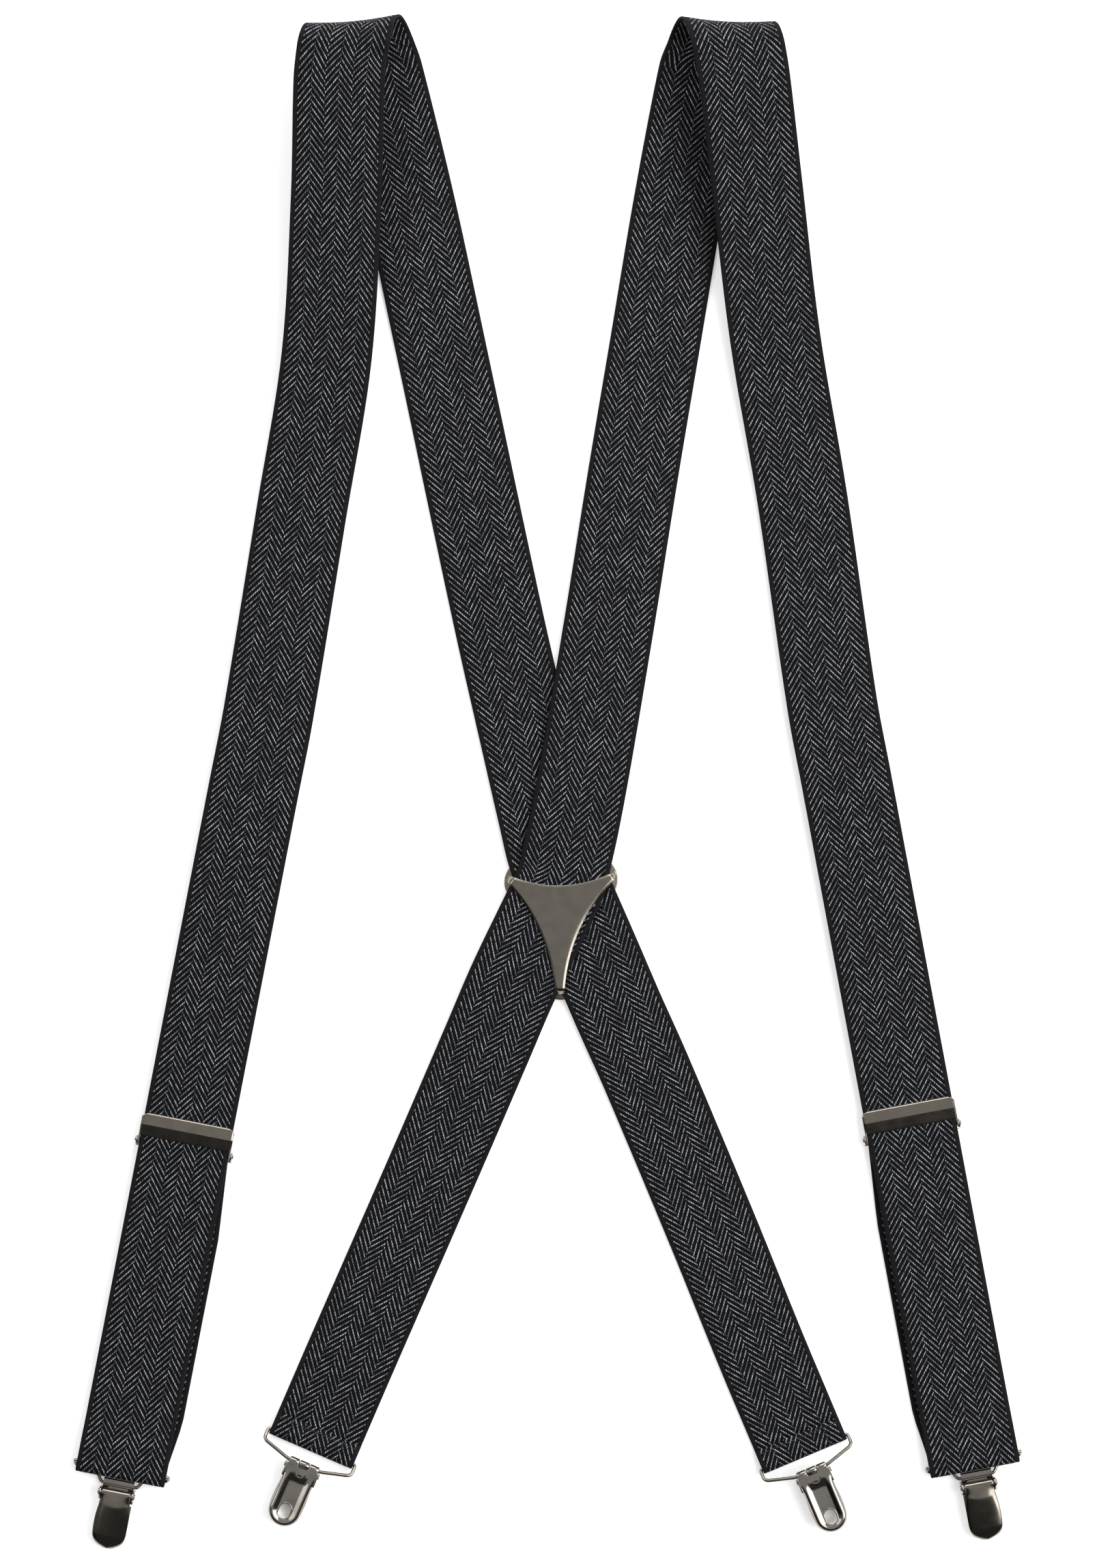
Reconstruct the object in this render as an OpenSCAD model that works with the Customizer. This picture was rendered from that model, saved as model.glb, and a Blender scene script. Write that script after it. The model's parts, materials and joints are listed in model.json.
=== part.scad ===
// X-back clip suspenders: two elastic straps, a cross patch, two adjusters and four clips.
// Lies flat, inner side up: shoulder loops at +Y, clips at -Y, +Z up from the table.

/* [Webbing] */
// width of the elastic webbing
web_w = 35; // [25:0.5:40]
// thickness of the elastic webbing
web_t = 1.2; // [1:0.1:1.2]
// radius of the soft bend over the shoulder, to the middle of the webbing
bend_r = 10; // [7:0.5:12]
// length of the sewn hem at each end of a strap
hem_len = 9.5; // [9:0.5:10]

/* [Clips] */
// diameter of the bail wire
wire_d = 1.4; // [1.2:0.1:1.4]
// width of the clip plates
plate_w = 12; // [11:0.2:12]
// length of the back plate below the knuckle
plate_len = 24.8; // [22:0.2:25]
// length of the lever from its pin to its tip
lever_len = 20.6; // [17:0.2:21]
// widest part of the lever
lever_w = 13.2; // [12.2:0.2:13.6]
// bore of the knuckle on the wire
knuckle_bore_d = 1.5; // [1.5:0.02:1.58]
// diameter of the lever's hinge pin
pin_d = 1.5; // [1.3:0.05:1.5]

/* [Adjusters] */
// width of the cover plate
cover_w = 36.4; // [36.2:0.1:36.8]
// height of the cover plate along the strap
cover_h = 9.2; // [8:0.2:10]

/* [Cross patch] */
// thickness of the front and back plates
patch_t = 1; // [0.8:0.1:1]

/* [Hidden] */
$fn = 48;
gap = 0.1;
// space left where two lengths of one strap meet
joint_gap = 0.9;
// straight part of the turn round a front clip's bail
tuck_len = 2.2;
half_w = web_w / 2;
half_t = web_t / 2;
wire_r = wire_d / 2;
// layer heights of the front runs, to the middle of each layer
low_z = half_t;
hem_z = 2.6;
run_z = 3.9;
tuck_z = 2.25;
fold_z = 5.05;
bar_z = (tuck_z + fold_z) / 2;
// heights at the cross patch
under_z = patch_t + gap + half_t;
over_z = under_z + web_t + gap;
// clip heights
knuckle_r = 1.5;
pin_y = -2.9;
pin_z = 4.2;
bail_len = 6.7;
back_bail_len = 7.05;
back_knuckle_z = 6.25;
back_bar_z = 1.95;
back_hem_z = 3.3;
// the straps' paths, in plan and height, from the lower end up
left_fold_at = [-165.8, -267.3];
right_fold_at = [165.1, -263.8];
left_lean = 11;
right_lean = -10.6;
left_corner = [-84.2, 165];
right_corner = [87, 172];
// where the webbing starts to bend over the shoulder, and how the runs lean above and below the bend
left_top = [-78.6, 283];
right_top = [72.8, 283];
left_rise_lean = 2.3;
right_rise_lean = -6.5;
left_top_lean = 11.5;
right_top_lean = -14;
left_under_lean = -22;
right_under_lean = 20;
// distance from the fold to the middle of the cover plate
left_slide = 135;
right_slide = 137.8;
// middles of the back runs, from the shoulder down
left_back_run = [
    [-66, 275, 0.6], [-53.7, 224.7, 0.6], [-42.3, 171.7, 0.6], [-19.8, 65.6, 0.6], [-7.8, 12.6, 0.9],
    [-1.7, -13.9, 1.6], [1.4, -27, under_z], [5.6, -38, under_z], [18.2, -67, under_z],
        [27.6, -88.8, under_z],
    [38, -112, 0.9], [63.6, -173, 0.6]
];
right_back_run = [
    [60, 275, 0.6], [50.4, 224.7, 0.6], [41.5, 171.7, 0.6], [32.6, 118.7, 0.6], [24.1, 65.6, 1.9],
    [15.2, 12.6, 2.7], [10.3, -13.9, over_z], [7.4, -27.2, over_z], [5.3, -36.5, over_z],
        [1.4, -45.5, over_z],
    [-13.5, -76.5, over_z], [-24, -101, 2], [-43.6, -146.5, 0.6]
];
left_back_lean = -22.8;
right_back_lean = 23.4;
left_end = [99.8, -260.8];
right_end = [-92.5, -258.7];

// ---- webbing ----

function unit(v) = v / norm(v);

// a smooth curve through points a and b with end slopes p and q, at share u
function curve_at(a, b, p, q, u) =
    a * (2 * u * u * u - 3 * u * u + 1) + p * (u * u * u - 2 * u * u + u)
    + b * (3 * u * u - 2 * u * u * u) + q * (u * u * u - u * u);

function chord(path, i) = unit(path[min(i + 1, len(path) - 1)] - path[max(i - 1, 0)]);

// the stations of a path, n of them between each pair of its points
function smooth(path, n) = concat(
    [for (i = [0 : len(path) - 2]) for (k = [0 : n - 1])
        let (reach = norm(path[i + 1] - path[i]))
        curve_at(path[i], path[i + 1], chord(path, i) * reach, chord(path, i + 1) * reach, k / n)],
    [path[len(path) - 1]]);

function flat_across(d) = unit([d[1], -d[0], 0]);

// four corners of the webbing at a station: middle p, across w, through n
function ring(p, w, n) = [
    p - w * half_w - n * half_t,
    p + w * half_w - n * half_t,
    p + w * half_w + n * half_t,
    p - w * half_w + n * half_t
];

function along(path, i) = path[min(i + 1, len(path) - 1)] - path[max(i - 1, 0)];

function flat_rings(path) = [for (i = [0 : len(path) - 1])
    let (d = along(path, i), w = flat_across(d), n = unit(cross(w, unit(d))))
    ring(path[i], w, n)];

// a solid through a list of four-cornered rings
module ribbon(rings) {
    count = len(rings);
    points = [for (r = rings) each r];
    sides = [for (i = [0 : count - 2]) for (k = [0 : 3]) each [
        [4 * i + k, 4 * i + (k + 1) % 4, 4 * i + 4 + k],
        [4 * i + (k + 1) % 4, 4 * i + 4 + (k + 1) % 4, 4 * i + 4 + k]
    ]];
    ends = [[2, 1, 0], [3, 2, 0], [4 * count - 4, 4 * count - 3, 4 * count - 2],
        [4 * count - 4, 4 * count - 2, 4 * count - 1]];
    polyhedron(points, concat(sides, ends));
}

module webbing(path) color([0.09, 0.09, 0.11]) ribbon(flat_rings(path));

// places children at point p, turned by lean about the vertical
module at(p, lean, height = 0) translate([p[0], p[1], height]) rotate([0, 0, -lean]) children();

// plan point reached from p by going s up a run that leans
function up(p, lean, s) = [p[0] + s * sin(lean), p[1] + s * cos(lean)];

function lift(p, z) = [p[0], p[1], z];

// the front layer, from just above its fold up to the shoulder
function front_path(fold_at, lean, corner, rise_lean, top, top_lean) =
    let (
        low = [[tuck_len + 0.2, fold_z], [9, fold_z], [24, run_z], [90, run_z], [200, run_z],
            [270, run_z], [300, 3.4]],
        knee = up(corner, lean, -62),
        mid = (corner * 2 + up(corner, lean, -44) + up(corner, rise_lean, 44)) / 4,
        top_z = 2 * bend_r + half_t
    )
    concat(
        [for (s = low) lift(up(fold_at, lean, s[0]), s[1])],
        [lift(knee, 2), lift(mid, 6), lift(up(corner, rise_lean, 62), 13),
            lift(up(top, (top_lean + rise_lean) / 2, -12), top_z - 0.5),
                lift(up(top, top_lean, -joint_gap), top_z)]
    );

// the return layer, from its fold up to the hem of the strap's end
function return_path(fold_at, lean, reach) =
    [for (s = [[tuck_len + 0.2, tuck_z], [9, tuck_z], [20, low_z], [60, low_z], [reach - 16.2, low_z]])
        lift(up(fold_at, lean, s[0]), s[1])];

// one turn of webbing about an axis across the strap, from height z0 up to z1
module turn(z0, z1) color([0.09, 0.09, 0.11]) {
    mid = (z0 + z1) / 2;
    r = (z1 - z0) / 2;
    translate([0, 0, mid]) rotate([0, 90, 0]) rotate([0, 0, 180])
        intersection() {
            difference() {
                cylinder(h = web_w, r = r + half_t, center = true);
                cylinder(h = web_w + 2, r = r - half_t, center = true);
            }
            translate([-10, 0, -web_w]) cube([20, 10, 2 * web_w]);
        }
}

module strip(y0, y1, z) color([0.09, 0.09, 0.11]) translate([-half_w, y0, z - half_t])
    cube([web_w, y1 - y0, web_t]);

// two layers joined by a turn at y, the open side towards +Y
module fold(z0, z1, long0, long1) {
    turn(z0, z1);
    strip(0, long0, z0);
    strip(0, long1, z1);
}

// a row of stitches across the webbing
module stitches(y, z, proud) color([0.05, 0.05, 0.06])
    for (i = [0 : 12]) translate([-15.6 + i * 2.6, y, z + proud / 2])
        cube([1.7, 0.5, proud], center = true);

// axis of the shoulder's bend: it makes the same angle with the run going in and the run coming out
function bend_axis(lean_up, lean_down) =
    unit([cos(lean_up) + cos(lean_down), -sin(lean_down) - sin(lean_up), 0]);

function bend_lean(lean_up, lean_down) =
    asin(bend_axis(lean_up, lean_down) * [sin(lean_up), cos(lean_up), 0]);

// middle of the webbing at angle q round the bend
function bend_at(top, lean_up, lean_down, q) =
    let (a = bend_axis(lean_up, lean_down), out = [-a[1], a[0], 0] * sin(q) + [0, 0, 1] * cos(q))
    [top[0], top[1], half_t + bend_r] + a * (bend_r * q * PI / 180 * tan(bend_lean(lean_up,
        lean_down))) + out * bend_r;

module shoulder(top, lean_up, lean_down) {
    a = bend_axis(lean_up, lean_down);
    b = [-a[1], a[0], 0];
    lean = bend_lean(lean_up, lean_down);
    rings = [for (k = [0 : 16])
        let (q = k * 180 / 16, run = b * cos(q) - [0, 0, 1] * sin(q))
        ring(bend_at(top, lean_up, lean_down, q), a * cos(lean) - run * sin(lean), b * sin(q)
            + [0, 0, 1] * cos(q))];
    color([0.09, 0.09, 0.11]) ribbon(rings);
}

function back_path(top, lean_up, lean_down, run, end_at, lean) = concat(
    [lift(up(bend_at(top, lean_up, lean_down, 180), lean_down, -joint_gap), low_z)], run,
    [lift(up(end_at, lean, 45), low_z), lift(up(end_at, lean, hem_len + 0.2), low_z)]);

// ---- clip: knuckle axis at the origin, tip towards -Y, lever on the +Z side ----

// sixteen points round the wire where it bends from direction d into direction e
function bend_ring(p, d, e) =
    let (u = unit(cross(d, [0, 0, 1])), v = cross(u, d), m = unit(d + e))
    [for (k = [0 : 15])
        let (c = wire_r * (cos(k * 22.5) * u + sin(k * 22.5) * v))
        p + c - d * ((c * m) / (d * m))];

// closed loop of wire through the points
module wire(points) {
    count = len(points);
    rings = [for (i = [0 : count - 1])
        bend_ring(points[i], unit(points[i] - points[(i + count - 1) % count]),
            unit(points[(i + 1) % count] - points[i]))];
    faces = [for (i = [0 : count - 1]) for (k = [0 : 15])
        let (a = 16 * i, b = 16 * ((i + 1) % count), j = (k + 1) % 16)
        each [[a + k, a + j, b + k], [a + j, b + j, b + k]]];
    polyhedron([for (r = rings) each r], faces);
}

// narrow bar in the knuckle, wide bar in the webbing
module bail(right) color([0.35, 0.34, 0.33]) {
    last = len(right) - 1;
    wire(concat(right, [for (i = [0 : last]) [-right[last - i][0], right[last - i][1],
        right[last - i][2]]]));
}

// the front bails dip under the return layer and rise into the fold outside the webbing's edges
module front_bail() bail([
    [6.9, 0, 0], [9.2, 1.3, -0.62], [17.4, 4.5, -0.62], [18.4, 5.3, -0.3], [18.4, 6.4, 1.3],
        [18.2, bail_len, bar_z - 1.5]
]);

// the back bails slope down flat to the hem
module back_bail() bail([for (p = [[6.9, 0], [17.5, 2.7], [18.35, 3.6], [18.35, 6.6], [17.9,
    back_bail_len]])
    [p[0], p[1], (back_bar_z - back_knuckle_z) * p[1] / back_bail_len]]);

module knuckle(x0, x1) rotate([0, 90, 0]) translate([0, 0, x0]) cylinder(h = x1 - x0, r = knuckle_r);

module knuckle_bore() rotate([0, 90, 0]) cylinder(h = 40, d = knuckle_bore_d, center = true);

module slot_2d() translate([0, -19.1]) {
    translate([0, 0.8]) circle(r = 2.25);
    translate([0, -0.8]) circle(r = 2.25);
    square([4.5, 1.6], center = true);
}

module plate_2d(length, w) {
    translate([-w / 2, -length + w / 2]) square([w, length - w / 2]);
    translate([0, -length + w / 2]) circle(d = w);
}

// back plate with raised rim, two knuckle segments and two ears for the lever's pin
module back_plate() color([0.42, 0.4, 0.38]) difference() {
    union() {
        translate([0, 0, -1.5]) linear_extrude(0.8) plate_2d(plate_len, plate_w);
        for (side = [-1, 1]) translate([side * 4.1, 0, 0]) knuckle(-1.95, 1.95);
        for (side = [-1, 1]) {
            translate([side * 6.4 - 0.4, -6.4, -1.5]) cube([0.8, 5.2, 4.6]);
            translate([side * 6.4 - 0.4, pin_y, pin_z]) rotate([0, 90, 0]) cylinder(h = 0.8, r = 1.9);
            translate([side * 6.4 - 0.4, pin_y - 1.9, 3]) cube([0.8, 3.8, 1.2]);
        }
        // rim folded up round the jaw's pad
        translate([0, 0, -1.5]) linear_extrude(1.3) difference() {
            plate_2d(plate_len, plate_w);
            plate_2d(plate_len - 0.8, plate_w - 1.6);
            translate([-10, -6]) square([20, 10]);
        }
    }
    knuckle_bore();
    translate([-2.15, -1.9, -3]) cube([4.3, 6, 6]);
    translate([0, 0, -3]) linear_extrude(4) slot_2d();
    translate([0, pin_y, pin_z]) rotate([0, 90, 0]) cylinder(h = 20, d = pin_d, center = true);
}

// jaw plate with its knuckle segment
module jaw() color([0.42, 0.4, 0.38]) difference() {
    union() {
        knuckle(-2, 2);
        translate([-2, -3, 0.7]) cube([4, 3, 0.8]);
        translate([-5.4, -16, 0.7]) cube([10.8, 14.2, 0.8]);
    }
    knuckle_bore();
}

module pad() color([0.12, 0.12, 0.12]) translate([-4.6, -15.8, -0.55]) cube([9.2, 5, 1.25]);

module lever_2d() {
    intersection() {
        union() {
            translate([0, -lever_len + 6]) circle(r = 6);
            translate([-lever_w / 2, -lever_len + 5]) square([lever_w, 8]);
            translate([-5.4, -11]) square([10.8, 10]);
            for (side = [-1, 1]) translate([side * 0.6, -9]) circle(r = 6);
        }
        translate([-lever_w / 2, -lever_len]) square([lever_w, lever_len - 0.2]);
    }
}

// lever: origin moved to its pin, a cam under the pin and a domed handle
module lever() color([0.2, 0.19, 0.18]) translate([0, pin_y, pin_z]) difference() {
    union() {
        rotate([0, 90, 0]) cylinder(h = 11.4, r = 1.6, center = true);
        translate([0, 0, -1.35]) rotate([0, 90, 0]) cylinder(h = 8, r = 1.2, center = true);
        intersection() {
            translate([0, 0, -2.2]) linear_extrude(4.4) lever_2d();
            translate([0, -9, -32.2]) rotate([0, 90, 90]) difference() {
                cylinder(h = 40, r = 34, center = true, $fn = 160);
                cylinder(h = 41, r = 32.6, center = true, $fn = 160);
            }
        }
    }
    rotate([0, 90, 0]) cylinder(h = 20, r = pin_d / 2 + 0.04, center = true);
}

module pin() color([0.6, 0.58, 0.55]) translate([0, pin_y, pin_z]) rotate([0, 90, 0]) {
    cylinder(h = 13.8, d = pin_d, center = true);
    for (side = [-1, 1]) translate([0, 0, side * 7.05]) cylinder(h = 0.45, r = 1.05, center = true);
}

// ---- adjuster: middle of the cover at the origin in plan, +Y up the strap ----

arm_x = half_w + 0.1;
lug_x = arm_x + 0.7;
hinge_y = -6.3;
hinge_z = 3;

module adjuster_frame() color([0.42, 0.4, 0.38]) difference() {
    union() {
        translate([-lug_x - 0.6, -8.8, 1.25]) cube([2 * lug_x + 1.2, 3, 0.7]);
        for (side = [-1, 1]) translate([side * (lug_x + 0.3) - 0.3, -8.1, 1.25]) cube([0.6, 3.2, 2.8]);
    }
    translate([0, hinge_y, hinge_z]) rotate([0, 90, 0]) cylinder(h = 60, r = 0.5, center = true);
}

module adjuster_rivets() color([0.6, 0.58, 0.55])
    for (side = [-1, 1]) translate([side * (lug_x + 0.25), hinge_y, hinge_z]) rotate([0, 90, 0]) {
        cylinder(h = 1.7, r = 0.5, center = true);
        translate([0, 0, side * 0.6]) cylinder(h = 0.5, r = 0.8, center = true);
    }

module adjuster_cover() color([0.36, 0.34, 0.32]) difference() {
    union() {
        translate([0, 0, 4.65]) linear_extrude(0.8) polygon([
            [-cover_w / 2, -cover_h / 2], [cover_w / 2, -cover_h / 2], [cover_w / 2, cover_h / 2 - 1.6],
            [cover_w / 2 - 1.6, cover_h / 2], [1.6 - cover_w / 2, cover_h / 2],
                [-cover_w / 2, cover_h / 2 - 1.6]]);
        for (side = [-1, 1]) {
            translate([side * (arm_x + 0.3) - 0.3, hinge_y, hinge_z]) rotate([0, 90, 0])
                cylinder(h = 0.6, r = 0.95);
            translate([side * (arm_x + 0.3) - 0.3, -7.2, 3]) cube([0.6, 6, 2.45]);
            translate([side * (arm_x + 0.3) - 0.3, -3, 3.6]) cube([0.6, 6, 1.4]);
        }
    }
    translate([0, hinge_y, hinge_z]) rotate([0, 90, 0]) cylinder(h = 60, r = 0.55, center = true);
}

// ---- cross patch ----

posts = [[-15.3, -36.4], [25.7, -34.6], [4.4, -81.4]];

module post_2d() {
    for (p = posts) translate([p[0] - 0.6, p[1] - 0.8]) square([1.2, 1.6]);
}

// rounded three-cornered plate with a post at each corner
module patch_back_plate() color([0.4, 0.38, 0.36]) {
    linear_extrude(patch_t) {
        translate([-8.6, -38]) circle(r = 8.6);
        translate([18.2, -37]) circle(r = 8.8);
        translate([4.7, -75.4]) circle(r = 8.4);
        polygon([[-8.6, -29.4], [18.2, -28.2], [26.4, -40.2], [12.8, -78], [4.7, -83.6], [-3.2, -78],
            [-16.8, -40.4]]);
    }
    linear_extrude(over_z + half_t + gap) post_2d();
}

// concave-sided plate over the straps
module patch_front_plate() color([0.42, 0.4, 0.38]) translate([0, 0, over_z + half_t + gap])
    linear_extrude(patch_t) {
    difference() {
        polygon([[-16.3, -35], [6, -30], [26.3, -33.8], [26.3, -36], [5.6, -82.5], [3.7, -82.5],
            [-16.3, -37.4]]);
        translate([6.93, -6.6]) circle(r = 34.9, $fn = 120);
        translate([-56.35, -77.8]) circle(r = 59.7, $fn = 160);
        translate([57.1, -75.5]) circle(r = 50.4, $fn = 160);
    }
    post_2d();
}

// ---- placed pieces ----

module front_run(fold_at, lean, corner, rise_lean, top, top_lean)
    webbing(smooth(front_path(fold_at, lean, corner, rise_lean, top, top_lean), 6));

module return_run(fold_at, lean, reach) webbing(smooth(return_path(fold_at, lean, reach), 4));

module back_run(top, lean_up, lean_down, run, end_at, lean)
    webbing(smooth(back_path(top, lean_up, lean_down, run, end_at, lean), 6));

module clip_fold(fold_at, lean) at(fold_at, lean) fold(tuck_z, fold_z, tuck_len, tuck_len);

module adjuster_at(fold_at, lean, reach) at(up(fold_at, lean, reach), lean) children();

module end_hem() translate([0, -5.8, 0]) mirror([0, 1, 0]) fold(low_z, hem_z, 10.2, hem_len);

module end_thread() stitches(-14, hem_z + half_t, 0.08);

module back_hem() translate([0, back_bar_z, 0])
    fold(low_z, back_hem_z, hem_len - back_bar_z, hem_len - back_bar_z);

module back_thread() stitches(7.8, back_hem_z + half_t, 0.25);

module front_clip(fold_at, lean) at(up(fold_at, lean, -4.6), lean, 1.5) children();

module back_clip(end_at, lean) at(up(end_at, lean, back_bar_z - back_bail_len), lean, back_knuckle_z)
    children();

// the back clips lie lever side down
module flipped() rotate([0, 180, 0]) children();

front_run(left_fold_at, left_lean, left_corner, left_rise_lean, left_top, left_top_lean);  // left_front
clip_fold(left_fold_at, left_lean);  // left_fold
return_run(left_fold_at, left_lean, left_slide);  // left_return
adjuster_at(left_fold_at, left_lean, left_slide) end_hem();  // left_end_hem
adjuster_at(left_fold_at, left_lean, left_slide) end_thread();  // left_end_thread
shoulder(left_top, left_top_lean, left_under_lean);  // left_shoulder
back_run(left_top, left_top_lean, left_under_lean, left_back_run, left_end, left_back_lean);  // left_back
at(left_end, left_back_lean) back_hem();  // left_back_hem
at(left_end, left_back_lean) back_thread();  // left_back_thread
front_run(right_fold_at, right_lean, right_corner, right_rise_lean, right_top, right_top_lean);  // right_front
clip_fold(right_fold_at, right_lean);  // right_fold
return_run(right_fold_at, right_lean, right_slide);  // right_return
adjuster_at(right_fold_at, right_lean, right_slide) end_hem();  // right_end_hem
adjuster_at(right_fold_at, right_lean, right_slide) end_thread();  // right_end_thread
shoulder(right_top, right_top_lean, right_under_lean);  // right_shoulder
back_run(right_top, right_top_lean, right_under_lean, right_back_run, right_end, right_back_lean);  // right_back
at(right_end, right_back_lean) back_hem();  // right_back_hem
at(right_end, right_back_lean) back_thread();  // right_back_thread
patch_back_plate();
patch_front_plate();
adjuster_at(left_fold_at, left_lean, left_slide) adjuster_frame();  // left_adjuster_frame
adjuster_at(left_fold_at, left_lean, left_slide) adjuster_rivets();  // left_adjuster_rivets
adjuster_at(left_fold_at, left_lean, left_slide) adjuster_cover();  // left_adjuster_cover
adjuster_at(right_fold_at, right_lean, right_slide) adjuster_frame();  // right_adjuster_frame
adjuster_at(right_fold_at, right_lean, right_slide) adjuster_rivets();  // right_adjuster_rivets
adjuster_at(right_fold_at, right_lean, right_slide) adjuster_cover();  // right_adjuster_cover
front_clip(left_fold_at, left_lean) front_bail();  // left_front_bail
front_clip(left_fold_at, left_lean) back_plate();  // left_front_plate
front_clip(left_fold_at, left_lean) jaw();  // left_front_jaw
front_clip(left_fold_at, left_lean) pad();  // left_front_pad
front_clip(left_fold_at, left_lean) lever();  // left_front_lever
front_clip(left_fold_at, left_lean) pin();  // left_front_pin
front_clip(right_fold_at, right_lean) front_bail();  // right_front_bail
front_clip(right_fold_at, right_lean) back_plate();  // right_front_plate
front_clip(right_fold_at, right_lean) jaw();  // right_front_jaw
front_clip(right_fold_at, right_lean) pad();  // right_front_pad
front_clip(right_fold_at, right_lean) lever();  // right_front_lever
front_clip(right_fold_at, right_lean) pin();  // right_front_pin
back_clip(left_end, left_back_lean) back_bail();  // left_back_bail
back_clip(left_end, left_back_lean) flipped() back_plate();  // left_back_plate
back_clip(left_end, left_back_lean) flipped() jaw();  // left_back_jaw
back_clip(left_end, left_back_lean) flipped() pad();  // left_back_pad
back_clip(left_end, left_back_lean) flipped() lever();  // left_back_lever
back_clip(left_end, left_back_lean) flipped() pin();  // left_back_pin
back_clip(right_end, right_back_lean) back_bail();  // right_back_bail
back_clip(right_end, right_back_lean) flipped() back_plate();  // right_back_plate
back_clip(right_end, right_back_lean) flipped() jaw();  // right_back_jaw
back_clip(right_end, right_back_lean) flipped() pad();  // right_back_pad
back_clip(right_end, right_back_lean) flipped() lever();  // right_back_lever
back_clip(right_end, right_back_lean) flipped() pin();  // right_back_pin
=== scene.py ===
"""X-back clip suspenders: herringbone elastic straps, black-nickel clips, adjusters and cross patch."""

import json
import logging
import math
from dataclasses import dataclass, field
from enum import Enum
from typing import Callable, Optional, Union

import bpy
from mathutils import Matrix, Vector


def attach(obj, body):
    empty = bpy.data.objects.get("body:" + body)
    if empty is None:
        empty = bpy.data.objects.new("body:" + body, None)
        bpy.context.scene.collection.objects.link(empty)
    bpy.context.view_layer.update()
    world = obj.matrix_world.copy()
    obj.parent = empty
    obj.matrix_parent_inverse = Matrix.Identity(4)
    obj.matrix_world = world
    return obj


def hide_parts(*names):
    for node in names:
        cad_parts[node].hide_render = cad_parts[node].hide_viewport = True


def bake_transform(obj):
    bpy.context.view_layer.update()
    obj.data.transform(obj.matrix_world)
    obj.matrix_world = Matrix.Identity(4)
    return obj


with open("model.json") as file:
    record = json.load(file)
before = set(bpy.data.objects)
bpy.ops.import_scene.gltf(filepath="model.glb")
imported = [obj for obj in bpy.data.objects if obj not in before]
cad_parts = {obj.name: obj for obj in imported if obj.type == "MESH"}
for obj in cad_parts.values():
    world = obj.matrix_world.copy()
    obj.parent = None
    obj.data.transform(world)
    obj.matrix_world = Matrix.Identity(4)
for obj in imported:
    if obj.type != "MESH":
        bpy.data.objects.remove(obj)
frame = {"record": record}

LOG = logging.getLogger("suspenders")
MM = 0.001
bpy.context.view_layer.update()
JOINTS = {j["name"]: j for j in frame["record"]["behaviour"]["joints"]}
SMOOTH = {"interpolation_type": "SMOOTHSTEP"}
Pair = tuple[float, float]
Point = tuple[float, float, float]
Piece = bpy.types.Object
Socket = bpy.types.NodeSocket


class Side(Enum):
    """Which shoulder a strap goes over."""

    LEFT = "left"
    RIGHT = "right"


class End(Enum):
    """Which end of a strap a clip hangs on."""

    FRONT = "front"
    BACK = "back"


# ---- colours and nodes ----


def linear(code: str) -> tuple[float, float, float, float]:
    """Turns an sRGB hex colour into linear RGBA.

    Args:
        code: six hex digits after a hash.

    Returns:
        The linear colour with full alpha.
    """
    shares = [int(code[i : i + 2], 16) / 255 for i in (1, 3, 5)]
    rgb = [c / 12.92 if c <= 0.04045 else ((c + 0.055) / 1.055) ** 2.4 for c in shares]
    return (*rgb, 1.0)


class Recipe:
    """A node tree being filled in, one node at a time."""

    def __init__(self, owner: Union[bpy.types.Material, bpy.types.World], shader: str) -> None:
        """Takes up the tree of a material or of the world.

        Args:
            owner: what the tree belongs to.
            shader: name of the shader node that it ends in.
        """
        owner.use_nodes = True
        self.tree = owner.node_tree
        self.shader = self.tree.nodes[shader]

    def add(
        self, kind: str, inputs: Union[dict, tuple] = (), out: Union[int, str] = 0, **settings: object
    ) -> Socket:
        """Adds a node with its settings and links.

        Args:
            kind: the node's type name, without its first word.
            inputs: values, or sockets to link, by the inputs' names or in their order.
            out: name or number of the output that is wanted.
            settings: the node's own properties.

        Returns:
            That output.
        """
        node = self.tree.nodes.new(f"ShaderNode{kind}")
        for key, value in settings.items():
            setattr(node, key, value)
        self.feed(node, inputs)
        return node.outputs[out]

    def feed(self, node: bpy.types.Node, inputs: Union[dict, tuple]) -> None:
        """Sets or links a node's inputs.

        Args:
            node: the node that takes them.
            inputs: values, or sockets to link, by the inputs' names or in their order.
        """
        pairs = inputs.items() if isinstance(inputs, dict) else enumerate(inputs)
        for key, value in pairs:
            if isinstance(value, Socket):
                self.tree.links.new(value, node.inputs[key])
            else:
                node.inputs[key].default_value = value

    def ridges(self, phase: Socket) -> Socket:
        """Draws even ridges: 0 where the phase is a whole number, 1 half way to the next.

        Args:
            phase: the pattern's run.

        Returns:
            The ridges' height.
        """
        half = self.add("Math", (phase, 0.5), operation="PINGPONG")
        return self.add("Math", (half, 2.0), operation="MULTIPLY")


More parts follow.
